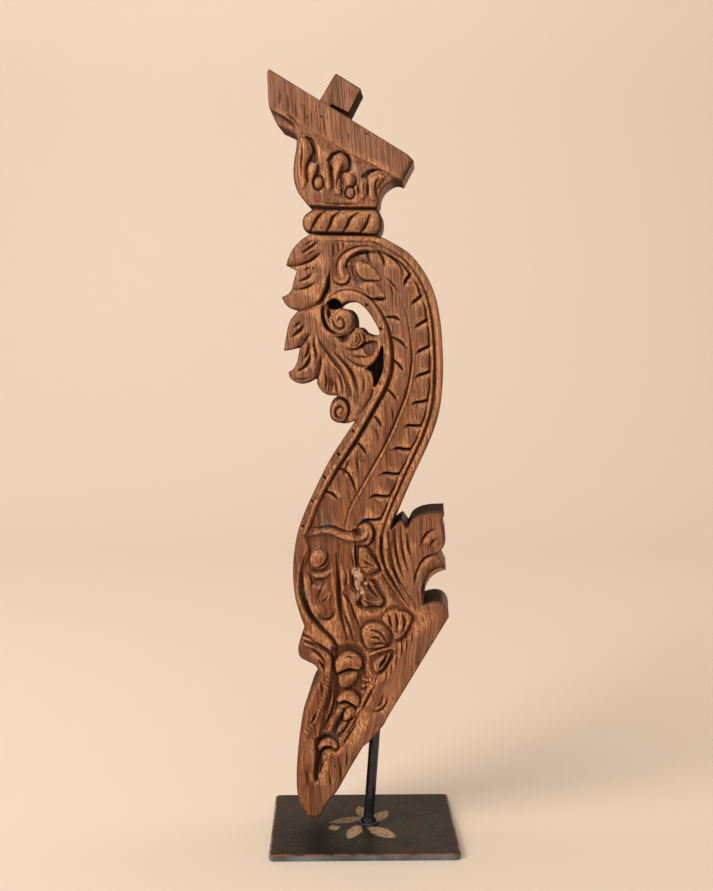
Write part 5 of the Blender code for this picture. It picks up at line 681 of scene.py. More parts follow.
def carve_scrolls(r):
    """The two scrolls and the cup inside the crest, the lower curl and the deep pockets."""
    r.level([
        (-33.5, 407.5), (-31, 415.5), (-25.5, 419), (-18, 416.5), (-14.5, 407.5), (-16.5, 397.5),
        (-24.5, 393.5), (-32, 398),
    ], -4.8, soft=2)
    r.dome((-25.5, 406.5), (9.4, 11.4), 4.0, -5.8)
    r.bead([
        (-18, 401), (-23.5, 397), (-29.5, 399), (-31.5, 406.5), (-29, 412.5), (-23.5, 414.5),
        (-19.5, 411),
    ], 4.0, 1.8, ends=(0.3, 0.3))
    r.cut([
        (-20, 402), (-24.5, 399.5), (-28, 402.5), (-28, 408), (-24, 410.5), (-21.5, 407.5),
        (-23.5, 404.5),
    ], SMALL, ends=(0.2, 0.6))
    r.cut([(-30, 416.5), (-23.5, 418), (-18, 414), (-16.5, 406.5), (-19, 398.5)], BROAD, ends=(0.3, 0.5))
    r.level([
        (-41, 500), (-40.6, 488), (-36.5, 480), (-28, 475.6), (-20, 475), (-13, 478), (-9, 486),
        (-10, 496), (-18, 501), (-26, 501), (-31, 506),
    ], -7.0, soft=2.0)
    r.bead([
        (-36, 504.5), (-38, 495.5), (-36, 486.5), (-31.5, 479.5), (-24.5, 476),
    ], 4.4, 3.6, ends=(0.3, 0.3))
    r.cut([
        (-39.5, 506.5), (-40.5, 495.5), (-38, 485), (-32.5, 478), (-24.5, 473.5),
    ], BROAD, ends=(0.5, 0.2))
    r.cut([(-34.5, 502), (-35, 494), (-32.5, 486.5)], BROAD, ends=(0.8, 0.3))
    r.dome((-22.5, 487), (12.4, 12.6), 6.4, -7.0)
    r.cut([
        (-30.5, 496.5), (-31.5, 490.5), (-29.5, 484), (-25, 480.5), (-21, 482.5), (-21, 487),
        (-24, 490.5), (-26.5, 488),
    ], MEDIUM, ends=(0.2, 0.7))
    r.cut([(-17, 495.5), (-13, 490.5), (-13.5, 483), (-18.5, 478)], FINE, ends=(0.1, 0.1))
    r.level([
        (-36.5, 504), (-31, 507.6), (-25.4, 505.6), (-23.6, 501.8), (-27, 498.9), (-31.4, 498.4),
        (-35, 500),
    ], -24, soft=1.6)
    r.dome((-12.5, 472.5), (11.2, 9.6), 4.2, -7.6)
    for radius in (8.4, 5.4):
        arc = spiral((-12.5, 471.5), radius, radius * 0.9, 80, -190, 12)
        r.bead(arc, 2.8, 1.8, ends=(0.3, 0.2))
        r.cut(arc * 0.8 + np.array((-12.5, 471.5)) * 0.2, FINE, ends=(0.2, 0.2))
    r.level([(-25.5, 472.5), (-21, 473.5), (-16.5, 472.5), (-18, 469.5), (-22.5, 469)], -7.6, soft=2)
    r.dome((-4, 460), (16.6, 13.4), 5.6, -8.2)
    r.level([
        (-8, 464.5), (-3, 467.5), (4.5, 469.5), (9, 469), (8, 461.5), (3.5, 456), (-1, 458), (-3, 462.5),
    ], -5.4, soft=1.4)
    r.cuts((
        ([(-31, 473.5), (-22.5, 473.5), (-16.5, 475), (-12, 479.5)], MEDIUM, (0.3, 0.7)),
        ([(-22.5, 464.5), (-13.5, 462), (-5.5, 464.5), (-2, 469.5), (-3, 475)], MEDIUM, (0.1, 0.8)),
        ([(-20, 460), (-12, 456), (-4.5, 455.5), (2.5, 455.5), (8, 460)], FINE, (0.1, 0.4)),
        ([(-22, 459), (-15.5, 452.5), (-6.5, 447.5), (1, 447), (7, 452.5), (11, 460.5)],
         SMALL, (0.2, 0.4)),
        ([(-9, 464), (-3, 467), (4.5, 469.5), (9.5, 469)], SMALL, (0.3, 0.3)),
    ))
    r.level([
        (-1, 444.5), (5.5, 449.5), (10.5, 457), (13.5, 465), (14.5, 454.5), (14, 443.5), (11, 435.5),
        (6.5, 428.5), (5.5, 436.5), (3.5, 442),
    ], -24, soft=1.6)


def carve_lower_panel(r):
    """The carved panel under the scales: a curling vine, a boss, channels, lobes and torn wood."""
    field = [
        (-57, 291), (-40, 296), (-22, 292), (-6, 289), (1.5, 291), (5.5, 299), (10, 299), (8.6, 285),
        (8, 271), (13, 257), (22, 243.5), (31.5, 231), (40, 219.5), (39, 211), (30.5, 195), (23.5, 183),
        (11.5, 161), (-0.5, 141), (-12.5, 121), (-24.5, 99), (-38.5, 79), (-47.5, 57), (-49.5, 65),
        (-46.5, 91), (-41.5, 119), (-35.5, 149), (-31.5, 171), (-28.5, 185), (-40.5, 202), (-53.5, 215),
        (-59.5, 234), (-59.5, 259), (-53.5, 277),
    ]
    r.level(field, -5.0, soft=3.0)
    r.stalk([
        (-54.5, 291.5), (-43, 294.5), (-32, 294), (-23.5, 291), (-15.5, 289), (-8.5, 289), (-2, 291),
        (0.5, 295), (-1, 299.5),
    ], 7.0, 4.6, -5.4, ends=(0.5, 0.7))
    r.stalk([
        (-8.5, 296), (-5.5, 299.5), (-1, 300.5), (2.5, 297.5), (3.5, 292.5), (1.5, 286.5), (-3.5, 283.5),
        (-10.5, 283),
    ], 5.0, 4.0, -6.0, ends=(0.4, 0.6))
    r.level([(-13, 296.5), (-6.5, 297.5), (-5.5, 292.5), (-11, 290.5)], -7.4, soft=2)
    r.dome((-44.5, 269), (9.0, 9.6), 4.4, -5.6)
    r.level([
        (-50.5, 260), (-44.5, 259), (-37.5, 261.5), (-34.5, 266), (-37, 259.5), (-42.5, 256.5),
        (-50, 257.5),
    ], -7.2, soft=2.4)
    r.stalk([
        (-52.5, 257.5), (-48.5, 253.5), (-42, 253), (-35.5, 256.5), (-31, 264),
    ], 5.0, 3.4, -6.4, ends=(0.4, 0.3))
    r.level([
        (-51, 246.5), (-45.5, 244.5), (-40, 245.5), (-37.5, 250.5), (-40.5, 251.5), (-46.5, 250.5),
    ], -7.0, soft=3)
    r.stalk([(-34.5, 243.5), (-35, 236), (-39, 231.5), (-45.5, 229)], 5.4, 3.6, -7.0, ends=(0.4, 0.4))
    r.dome((-46, 220.5), (9.6, 7.6), 3.8, -6.4, angle=-20)
    r.level([
        (-9.5, 283), (-0.5, 281.5), (6.5, 275), (10.5, 267), (14, 261.5), (8.5, 255.5), (0.5, 252.5),
        (-5.5, 252), (-9.5, 260),
    ], -8.0, soft=3)
    r.swell([
        (-8, 281.5), (-1.5, 281.5), (5, 275), (9, 267.5), (12.5, 261.5), (8.5, 257), (1, 254.5),
        (-4.5, 257), (-7.5, 263), (-9, 272),
    ], 4.4, 6)
    r.level([
        (-14.5, 258), (-4.5, 258.5), (-1.5, 252.5), (7.5, 250), (14.5, 238), (17.5, 229), (13.5, 222.5),
        (-2.5, 222.5), (-8.5, 226), (-9.5, 236), (-14.5, 243),
    ], -9.6, soft=3)
    r.swell([
        (-1, 252), (5.5, 248.5), (9.5, 241.5), (14, 234.5), (16.5, 229.5), (14, 225), (3, 224), (-3, 224),
        (-6.5, 228), (-5, 234), (-2, 241.5),
    ], 5.0, 5)
    r.level([
        (1, 248), (5, 243), (9, 236), (12, 231.5), (7, 229.5), (-0.5, 231.5), (-1.5, 238.5),
    ], -8.4, soft=2.6)
    r.swell([
        (-14, 258), (-9.5, 259.5), (-4.5, 258), (-4.5, 250), (-6.5, 241.5), (-10, 242.5), (-13, 248.5),
    ], 3.4, 3)
    r.cuts((
        ([(-54.5, 298.5), (-43, 299), (-32, 299.5), (-21.5, 296), (-15, 295), (-10, 297.5)],
         MEDIUM, (0.3, 0.4)),
        ([(-10.5, 296), (-7, 301.5), (-2, 304), (4, 302), (6.5, 295), (5, 287.5), (0.5, 282),
            (-7, 280.5)], MEDIUM, (0.4, 0.3)),
        ([(-52.5, 292), (-43, 293.5), (-34, 293), (-26.5, 289.5), (-20, 287.5), (-10, 287), (-4.5, 289)],
         SMALL, (0.1, 0.3)),
        ([(-53.5, 279), (-57.5, 270.5), (-60, 261), (-61, 250), (-60, 236), (-57, 226.5), (-51, 214.5),
            (-41.5, 203), (-32.5, 194), (-26.5, 184.5)], (6.0, 5.4), (0.2, 0.6)),
        ([(-39, 279.5), (-36.5, 273.5), (-38.5, 266), (-43.5, 262), (-49.5, 262)], MEDIUM, (0.1, 0.3)),
        ([(-52.5, 255.5), (-48.5, 251), (-41.5, 249.5), (-35.5, 253)], FINE, (0.2, 0.2)),
        ([(-56, 257.5), (-53, 253.5), (-51, 247), (-52.5, 240)], SMALL, (0.3, 0.1)),
        ([(-39.5, 247.5), (-42.5, 241), (-45, 235), (-47, 228.5)], FINE, (0.1, 0.1)),
        ([(-35, 238), (-37, 233.5), (-40.5, 229.5), (-43.5, 227.5)], SMALL, (0.1, 0.1)),
        ([(-28.5, 224), (-31.5, 216.5), (-36, 212.5), (-41.5, 213.5), (-45, 218)], SMALL, (0.2, 0.2)),
        ([(-28.5, 274.5), (-26.5, 250.5), (-25.5, 231.5), (-24, 217.5), (-21, 203.5), (-18.5, 194)],
         (5.4, 5.0), (0.3, 0.3)),
        ([(-23, 233.5), (-21, 217.5), (-15.5, 203.5), (-13, 193)], SMALL, (0.1, 0.7)),
        ([(-15.5, 230), (-13, 220.5), (-8, 208.5), (-5.5, 202)], SMALL, (0.2, 0.4)),
        ([(-17, 247.5), (-21.5, 238), (-18, 232), (-14, 224.5), (-11.5, 217.5)], SMALL, (0.1, 0.2)),
        ([(-18.5, 258), (-20, 248), (-22.5, 240)], FINE, (0.1, 0.1)),
        ([(-11, 290), (-11, 279), (-10.5, 268.5), (-9, 259.5)], (2.0, 4.0), (0.4, 0.6)),
        ([(-15, 278), (-13.5, 268.5), (-11.5, 259)], FINE, (0.3, 0.3)),
        ([(-5.5, 270.5), (0, 266), (6.5, 263)], SMALL, (0.2, 0.4)),
        ([(-1, 278), (4.5, 272.5), (9.5, 266)], FINE, (0.2, 0.2)),
        ([(-5.5, 253.5), (-1, 248), (3, 240.5), (8.5, 235), (16, 232)], MEDIUM, (0.2, 0.3)),
        ([(-9, 233.5), (-2.5, 230), (6.5, 227.5), (15, 229.5)], SMALL, (0.2, 0.3)),
        ([(-9, 261), (-3.5, 261.5), (3.5, 263)], FINE, (0.2, 0.1)),
        ([(7.5, 287), (8, 276), (10, 266), (14.5, 256), (22.5, 243.5), (32.5, 230.5), (40.5, 219.5)],
         SMALL, (0.3, 0.4)),
        ([(-9.5, 235), (-4, 239.5), (1, 239.5)], FINE, (0.2, 0.6)),
        ([(-7.5, 232), (-6, 227), (-4.5, 221.5)], SMALL, (0.2, 0.3)),
    ))
    r.bead([
        (-24, 269), (-22.5, 250.5), (-21, 233.5), (-18.5, 220.5), (-13.5, 207.5),
    ], 4.0, 1.6, ends=(0.2, 0.2))
    for splinter in (
        [(-22, 259), (-21, 250.5), (-23, 243)],
        [(-17.5, 260), (-16.5, 248.5), (-13.5, 239.5)],
        [(-13, 256), (-10, 247), (-6.5, 241.5)],
    ):
        r.bead(splinter, 3.0, 2.0, ends=(0.4, 0.1), step=1.0)
    r.bead([(-33, 272.5), (-32, 255), (-30.5, 239), (-28.5, 226)], 3.4, 1.2, ends=(0.2, 0.2))
    # Upright chisel marks on the bare wood beside the wall face.
    for k in range(6):
        top = np.array((18, 189)) + np.array([4.6, 5.0]) * k
        r.cut([top, top + (0.6, -22), top + (-1.4, -44 + 3 * k)], FINE, ends=(0.1, 0.1))


def carve_knobs(r):
    """The fluted shell, the curled knob and the leaf with a pointed hollow below them."""
    r.level([
        (11, 215), (17.5, 224), (25, 226), (32.5, 225), (40, 221.5), (44.5, 215.5), (41.5, 207),
        (38, 198.5), (30.5, 192), (22.5, 193), (16, 200), (13, 207.5),
    ], -6.0, soft=2)
    r.swell([
        (13, 215.5), (18.5, 221.5), (25, 223.5), (32.5, 222.5), (39, 220), (42.5, 215.5), (40, 207),
        (36, 199.5), (30, 194), (22.5, 195), (17.5, 202), (15, 208.5),
    ], 4.0, 4)
    for path in (
        [(19.5, 220), (21.5, 211.5), (23.5, 203)],
        [(26, 222), (28, 211.5), (27, 201.5)],
        [(32.5, 221), (35, 212), (32.5, 200.5)],
    ):
        r.cut(path, MEDIUM, ends=(0.3, 0.3))
    r.cut([(-5.5, 232), (3, 226.5), (12, 225.5), (17.5, 229.5)], SMALL, ends=(0.1, 0.1))
    r.level([
        (-7, 201.5), (-1, 211), (10.5, 212), (18.5, 208), (25, 198.5), (22.5, 188), (12, 184), (1, 182),
        (-5.5, 190.5),
    ], -6.6, soft=2.6)
    r.dome((8, 197), (14.6, 13.6), 5.4, -6.8)
    r.cuts((
        ([(-5, 203.5), (-4.5, 194), (0, 185)], MEDIUM, (0.4, 0.5)),
        ([(-0.5, 201), (5, 203.5), (12, 201), (17, 194.5), (19.5, 189)], SMALL, (0.1, 0.5)),
        ([(3, 196.5), (8.5, 197), (14, 193.5)], SMALL, (0.4, 0.2)),
        ([(4, 189.5), (11.5, 191), (18.5, 190)], SMALL, (0.2, 0.6)),
        ([(2, 185), (10.5, 185), (19.5, 188)], MEDIUM, (0.4, 0.4)),
    ))
    r.level([
        (3, 177.5), (12, 182.5), (23.5, 184.5), (27, 183.5), (21.5, 172), (16, 164), (9.5, 160.5),
        (4, 164),
    ], -6.4, soft=3.0)
    r.stalk([(2, 179), (12, 183.5), (21.5, 186), (27, 185.5)], 3.4, 3.6, -6.6, ends=(0.6, 0.3))
    r.swell([
        (5, 172.5), (10.5, 177.5), (22.5, 182.5), (20.5, 175.5), (16, 168), (10.5, 162.5), (6.5, 164),
    ], 4.6, 4)
    r.level([(11.5, 168), (13, 172.5), (19.5, 181), (17, 174), (13, 168.5)], -8.6, soft=1.6)
    r.cut([(25, 183.5), (21.5, 174), (17, 166), (10.5, 160.5), (5, 161)], FINE, ends=(0.3, 0.3))


def carve_lobes(r):
    """The chain of hooded lobes that runs down to the tip, and the rolls of the left edge."""
    r.level([
        (-31.5, 186), (-8.5, 187), (-1.5, 176), (-4.5, 158), (-2.5, 146), (-6.5, 130), (-18.5, 106),
        (-27.5, 101), (-30.5, 112), (-29.5, 150),
    ], -9.4, soft=5)
    r.level([
        (-47, 98), (-38.5, 102.6), (-28.5, 98), (-27.5, 93), (-34.5, 86), (-41.5, 74), (-47, 60),
        (-47.5, 76),
    ], -9.4, soft=4)
    for cap, body in (
        (
            [
                (-31.5, 171), (-26.5, 177.5), (-21, 181.5), (-15.5, 183), (-9, 180.5), (-4, 175.5),
                (-3.5, 168.5), (-7, 164), (-15.5, 165), (-23, 162.5), (-28.5, 160.5),
            ],
            [
                (-27.5, 159.5), (-22, 162.5), (-15.5, 164), (-8, 163), (-8.5, 155), (-13.5, 148.5),
                (-21, 146), (-26, 148), (-28, 154),
            ],
        ),
        (
            [
                (-29.5, 137.5), (-24, 142.5), (-18.5, 145), (-12, 144), (-7, 139), (-5.5, 133.5),
                (-9, 128.5), (-14.5, 131.5), (-20.5, 134), (-27.5, 132),
            ],
            [
                (-27.5, 131), (-21, 133), (-15.5, 130), (-22, 122.5), (-27, 114.5), (-32.5, 106.5),
                (-38, 103), (-35.5, 111.5), (-31.5, 122.5),
            ],
        ),
        (
            [
                (-19.5, 128.5), (-14.5, 129.5), (-10, 126.5), (-11, 121), (-16.5, 116), (-23, 115.5),
                (-22, 123.5),
            ],
            [
                (-22, 116.5), (-16.5, 118), (-13.5, 117), (-19.5, 108), (-25, 102), (-29.5, 101.5),
                (-28.5, 109),
            ],
        ),
        (
            [
                (-47, 91), (-42, 97.5), (-36, 99.5), (-29.5, 97.5), (-25.5, 91), (-29, 86.5), (-34.5, 90),
                (-40, 89), (-45, 84.5),
            ],
            [
                (-44, 83.5), (-39, 88), (-33.5, 88.5), (-31.5, 84.5), (-37, 78), (-42, 70), (-44, 60),
                (-46, 55.5), (-46.5, 69), (-45.5, 77.5),
            ],
        ),
    ):
        r.swell(body, 4.4, 5)
        r.level(cap, -8.0, soft=1.2)
        r.swell(cap, 6.0, 5)
        # The first two thirds of a cap's points go over its top, and the rest back under its brim.
        low = len(cap) * 2 // 3
        r.cut(cap[low - 1:] + cap[:1], MEDIUM, ends=(0.5, 0.2))
        r.cut(cap[:low], (2.0, 1.2), ends=(0.1, 0.5))
        middle = np.mean(cap, axis=0)
        r.cut((np.array(cap[1:low - 1]) - middle) * 0.55 + middle, FINE, ends=(0.2, 0.2))
        middle = np.mean(body, axis=0)
        r.cut((np.array(body[:4]) - middle) * 0.6 + middle, FINE, ends=(0.2, 0.2))
    r.level([
        (-7, 164), (-2.5, 168.5), (-0.5, 162), (1, 152.5), (-3.5, 144), (-8, 147.5), (-7, 156),
    ], -10.0, soft=2)
    # Broken bits in the hollow to the right of the lobes.
    for k in range(6):
        bit = np.array((-0.5, 160)) + np.array([k * 3.7 % 7.0 - 3, -(k * 5.3) % 17.0 - 17])
        r.dome(bit, (2.4, 2.0), 3.4, -9.0, angle=40 * k)
    r.cuts((
        ([(-62, 195), (-52, 190), (-42.5, 184), (-36, 176.5)], MEDIUM, (0.2, 0.3)),
        ([(-59.5, 188.5), (-49, 183.5), (-41.5, 177), (-38, 169)], BROAD, (0.2, 0.3)),
        ([(-52, 193.5), (-41.5, 186.5), (-33.5, 179.5), (-30, 169)], DEEP, (0.3, 0.4)),
        ([(-65, 200), (-56.5, 197), (-49, 193.5)], MEDIUM, (0.2, 0.3)),
        ([(-44.5, 174.5), (-40.5, 168), (-39.5, 161.5)], MEDIUM, (0.2, 0.1)),
        ([(-33, 177.5), (-32.5, 169), (-33.5, 159.5)], SMALL, (0.2, 0.1)),
        ([(-43.5, 155.5), (-41.5, 146), (-41, 137.5)], SMALL, (0.1, 0.1)),
        ([(-46.5, 125), (-49.5, 118), (-52.5, 112)], (2.8, 4.6), (0.4, 0.2)),
        ([(-30.5, 146), (-31, 134.5), (-33.5, 123), (-39, 111.5), (-46.5, 102.5)], MEDIUM, (0.1, 0.2)),
        ([(-35, 159.5), (-33.5, 148), (-35, 134.5), (-41, 121)], FINE, (0.1, 0.1)),
        ([(-0.5, 131.5), (4, 127), (11.5, 127), (18, 134), (19.5, 147)], SMALL, (0.1, 0.0)),
        ([(4, 136.5), (7.5, 131.5), (12.5, 133.5), (15, 140.5), (16, 149)], FINE, (0.1, 0.0)),
        ([(-9, 116), (-13.5, 107.5), (-19.5, 98.5), (-24, 90.5)], MEDIUM, (0.3, 0.3)),
        ([(8.5, 152.5), (-0.5, 137), (-5.5, 125.5)], MEDIUM, (0.3, 0.3)),
        ([(-26.5, 81), (-24.5, 71.5), (-24.5, 59.5), (-25.5, 53)], (1.8, 2.6), (0.4, 0.1)),
        ([(-35.5, 69), (-34.5, 59.5), (-33.5, 48)], FINE, (0.1, 0.1)),
        ([(-19.5, 91), (-18.5, 79), (-19.5, 67.5)], FINE, (0.1, 0.1)),
        ([(-59, 74.5), (-56, 63), (-56, 49)], FINE, (0.1, 0.2)),
        ([(-47, 90), (-43.5, 84), (-43, 72), (-46.3, 60)], BROAD, (0.1, 0.1)),
    ))
    r.bead([(-55.5, 191), (-45.5, 185), (-38, 177), (-34, 167)], 4.6, 1.8, ends=(0.2, 0.2))
    r.bead([(-61, 191.5), (-53.5, 187), (-45.5, 180.5)], 3.4, 1.4, ends=(0.2, 0.2))
    # A row of small chips down the left of the lobes.
    for k in range(16):
        chip = np.array((-35, 159.5)) + np.array([-0.5 * k - 0.055 * k * k, -3.7 * k])
        r.bead([chip - (2.4, -2.0), chip + (2.0, -2.2)], 2.0, 2.2, ends=(0.6, 0.3), step=0.5)
    r.bead([
        (8.5, 159.5), (2, 146), (-6.5, 130.5), (-13.5, 116), (-20.5, 103.5), (-26, 92.5),
    ], 3.6, 4.2, ends=(0.4, 0.3))
    r.bead([
        (-35, 160.5), (-36, 146), (-42, 131.5), (-47.5, 119), (-55, 105.5),
    ], 3.6, 1.2, ends=(0.2, 0.2))


def carve_fan(r):
    """The fan leaf that stands out towards the wall, chamfered along its top."""
    field = [
        (23.5, 297), (29, 306), (37, 300), (44, 309), (56, 313), (70, 314), (72, 291), (64, 276),
        (72, 261), (58, 254), (52.5, 240), (51, 226), (46, 225), (40, 238), (31, 252), (24.6, 264),
        (21.5, 278),
    ]
    r.level(field, -3.0, soft=1.6)
    r.level([
        (70, 316), (56, 316), (40, 318), (36.5, 312.5), (32, 318), (26.5, 312.5), (22, 298.5), (27.5, 304),
        (32, 306), (36.5, 299.5), (41, 307.5), (46.5, 311), (57.5, 313.5), (70.5, 314.5),
    ], -8.5, soft=2.6)
    r.cut(beside(BACK_LINE, -GROOVE_INSET, 0.84)[::6], (3.4, 3.0), ends=(1.0, 0.3))
    r.bead(beside(BACK_LINE, -BEAD_INSET, 0.84)[::6], 3.2, 1.6, ends=(1.0, 0.3))
    r.cut(beside(BACK_LINE, -1.6, 0.86)[::6], SMALL, ends=(0.6, 0.4))
    for path in (
        [(20, 295.5), (21, 279), (25, 260.5), (31.5, 243.5), (39.5, 229.5)],
        [(25.5, 297.5), (26.5, 279), (30.5, 261.5), (37, 245.5)],
        [(31, 299.5), (32, 283), (35, 268), (40.5, 253)],
        [(37, 294), (38, 281), (41.5, 269)],
    ):
        r.cut(path, MEDIUM, ends=(0.5, 0.1))
    r.drop([
        (72.5, 263), (65, 262), (59, 258), (54.5, 251.5), (50.5, 242),
    ], 7.0, 3.4, ends=(0.6, 0.2), wall=0.6)
    r.cuts((
        ([(47.5, 279.5), (50.5, 287.5), (54, 293.5), (58.5, 297), (64, 299)], MEDIUM, (0.1, 0.3)),
        ([(56, 279.5), (59.5, 286), (65, 290.5)], SMALL, (0.1, 0.3)),
        ([(46, 259.5), (49.5, 267), (54, 272), (58.5, 274), (67, 276.5)], MEDIUM, (0.2, 0.2)),
        ([(43.5, 242), (45, 257), (49.5, 267)], SMALL, (0.1, 0.5)),
        ([(51.5, 231), (52, 245), (56, 254.5)], BROAD, (0.3, 0.3)),
    ))


def round_edges(r, stretches):
    """Rounds the edge over, as much as each stretch of the outline is worn or carved."""
    lines = [smooth(points)[:-1] for _, points in stretches]
    line = np.vstack(lines)
    radii = np.concatenate([np.full(len(part), radius) for part, (radius, _) in zip(lines, stretches)])
    reach = 5
    radii = np.concatenate([radii[-reach:], radii, radii[:reach]])
    radii = np.convolve(radii, np.ones(2 * reach + 1) / (2 * reach + 1), "valid")
    closed = np.vstack([line, line[:1]])
    rows, d, share, _ = r.measure(closed, 7.5)
    gaps, far = lengths(closed)
    size = np.interp(share, far / gaps.sum(), np.append(radii, radii[0]))
    over = np.clip(1 - d / size, 0, 1)
    r.h[rows] -= size * (1 - np.sqrt(1 - over ** 2))


def carve(points, front=True):
    """The carved height at each point. The back has the main forms alone, and no pockets."""
    r = Relief(points)
    carve_block(r)
    carve_body(r)
    carve_scales(r)
    carve_rails(r)
    if front:
        carve_hook(r)
    carve_capital(r)
    carve_ring(r)
    carve_fan(r)
    if front:
        carve_lower_panel(r)
        carve_knobs(r)
        carve_lobes(r)
    carve_crest_leaves(r)
    if front:
        carve_scrolls(r)
    round_edges(r, OUTLINE)
    round_edges(r, OPENING)
    return r.h


# Where things are in the drawing.
TENON_FOOT = 0.3534
ROD_ENTRY = (6.7, 101.9)
# How far under the slope, as an area, a point may be and still count as on the tenon.
SLOPE_MARGIN = 60
# A triangle whose middle is nearer than this to the outline has no area.
SLIVER = 1e-4
# How far the lattice of a face keeps from its outline, as a share of a step.
LATTICE_GAP = 0.55
# How far the saw cut's own block runs past the wood.
OVERRUN = 0.004
# Edges that bend more than this stay sharp in the picture.
SHARP_EDGE = math.radians(50)

# The sawn sides' wear is SIDE_WEAR deep, in drawing millimetres, give or take as much again. It has
# its full depth from one part in SIDE_FADE of the way in from either face.
SIDE_WEAR = 0.10
SIDE_FADE = 8
# The grooves that run on round the ring's sides, in drawing millimetres: where they are, how deep and
# how far apart, what share of the gap a groove takes, and how much it slants.
RING_MIDDLE = 576
RING_HALF = 10
RING_SIDES = (-46, 5)
RING_GROOVE = 2.0
RING_GROOVE_GAP = 13.2
RING_GROOVE_SHARE = 0.36
RING_SLANT = 0.95

# The box of the drawing in which hollow and proud places are looked for, the size of its cells, and
# how wide the surroundings are in cells: near ones for chisel marks, far ones for whole forms.
FIELD_LOW = (-92.0, 16.0)
FIELD_HIGH = (80.0, 712.0)
CELL = 0.8
NEAR_CELLS = 2
FAR_CELLS = 8
# How far painted shadow in a hollow lies from what stands over it, towards the lower right.
SHADOW_SHIFT = 0.7
# Height differences, in drawing millimetres, that count as fully hollow, proud and deep.
HOLLOW_NEAR = 1.5
HOLLOW_FAR = 5
PROUD_NEAR = 1.0
PROUD_FAR = 4
DEEPEST = 9
# How far behind the face the sides' painted shade starts and grows, in metres.
SIDE_START = 0.0015
SIDE_GROWTH = 0.003
# Paint and torn wood are on the front alone, down to this depth in metres.
FRONT_DEPTH = 0.012
# The bleached wood: the strip beside the wall face, and the fan over it.
BLEACHED_TOP = 330
BLEACHED_FAN_LOW = 222
BLEACHED_FAN_LEFT = 24
BLEACHED_SHARE = 0.6
# How far the grain leans, sideways for each millimetre up.
GRAIN_LEAN = 0.07

# Spots of old pale paint left in the hollows: middle and size in the drawing.
PAINT_SPOTS = (
    (-34, 629, 3.4), (-14, 624, 3.0), (1, 616, 4.4), (-3, 545, 4.0), (-4, 523, 4.0), (-38, 302, 5.0),
    (-5, 457, 3.0), (12.5, 472, 2.4), (-28, 102, 4.0), (52, 250, 4.4), (-60, 236, 4.0), (-49, 404, 3.0),
)
# Knots that the grain runs round: middle, size and strength in the drawing.
KNOTS = ((12, 136, 17, 1.0), (-8, 300, 14, 0.5), (48, 196, 12, 0.6), (-30, 480, 12, 0.4))
# Tan petals painted on the plate round the rod: middle, half length and half width in metres, turn.
PETALS = (
    (-0.001, 0.025, 0.015, 0.0058, 100), (-0.0160, 0.0065, 0.017, 0.0065, 20),
    (-0.028, -0.011, 0.006, 0.006, 20), (-0.009, -0.0195, 0.017, 0.0068, 70),
    (0.016, 0.0135, 0.017, 0.0072, 60), (0.0165, -0.0215, 0.0185, 0.0088, 135),
)
# Bare torn wood: middle, half width and half height in the drawing.
TORN = (
    (-10.4, 257, 4.8, 4.4), (-6.0, 252, 3.0, 5.0), (-9.0, 245, 3.0, 5.0), (-5.0, 239, 2.0, 5.0),
    (-1.4, 246, 2.0, 1.6), (-8.6, 234, 1.4, 4.0),
)

# Colours of the wood. A pair is the red lower part, then the greyer upper part.
TEAK_DARK = ((0.128, 0.031, 0.007), (0.215, 0.080, 0.033))
TEAK_PALE = ((0.275, 0.074, 0.014), (0.440, 0.182, 0.080))
TEAK_CLOUD = ((0.18, 0.055, 0.014), (0.215, 0.088, 0.042))
TEAK_FINE = (0.42, 0.165, 0.064)
TEAK_FIBRE = (0.105, 0.036, 0.014)
TEAK_LINE = (0.050, 0.018, 0.008)
RUBBED_EDGE_AND_HIGHLIGHT = (0.64, 0.275, 0.105)
HOLLOW_DIRT_AND_SHADE = (0.078, 0.024, 0.007)
DEEP_SHADOW = (0.012, 0.006, 0.004)
SIDE_SHADE = (0.026, 0.013, 0.005)
PORE = (0.030, 0.013, 0.007)
OLD_PAINT = (0.150, 0.165, 0.170)
TORN_WOOD = (0.86, 0.50, 0.30)
WORM_HOLE = (0.010, 0.005, 0.003)
# Colours of the bar, the plate and the paper behind them.
BAR_BLACK = (0.008, 0.009, 0.012)
BAR_BLUE = (0.024, 0.028, 0.036)
BAR_SPECK = (0.20, 0.21, 0.22)
PLATE_DARK = (0.008, 0.0065, 0.0050)
PLATE_BROWN = (0.021, 0.018, 0.014)
PLATE_RED = (0.050, 0.017, 0.010)
PLATE_BLUE = (0.026, 0.038, 0.042)
PETAL_DARK = (0.25, 0.140, 0.062)
PETAL_PALE = (0.54, 0.37, 0.20)
RUST_BRIGHT = (0.26, 0.088, 0.028)
RUST_DARK = (0.060, 0.026, 0.013)
RUBBED_STEEL_AND_GLINT = (0.20, 0.165, 0.125)
SIDE_STEEL_DARK = (0.075, 0.095, 0.110)
SIDE_STEEL_PALE = (0.19, 0.215, 0.225)
SIDE_RUST = (0.13, 0.035, 0.018)
PEACH_PAPER = (0.735, 0.613, 0.500)

# The paper sheet, in metres: half its width, the radius of its bend, its front, back and top.
SHEET_REACH = 6.0
SHEET_BEND = 1.2
SHEET_FRONT = -4.0
SHEET_BACK = 2.6
SHEET_TOP = 5.0
SHEET_STEPS = 16
# The lights: place, what it looks at, size, power and colour.
LIGHTS = {
    "key": ((-2.1, -1.6, 1.9), (0, 0, 0.38), (1.8, 1.8), 88, (1.0, 0.97, 0.93)),
    "fill": ((0.3, -2.6, 1.0), (0, 0, 0.35), (1.6, 1.6), 6, (1.0, 0.95, 0.9)),
    "wall": ((0, 0.5, 3.2), (0, 2.6, 0.9), (3.4, 1.2), 44, (1.0, 0.96, 0.92)),
}
ROOM_COLOUR = (1.0, 0.90, 0.80)
ROOM_POWER = 0.42


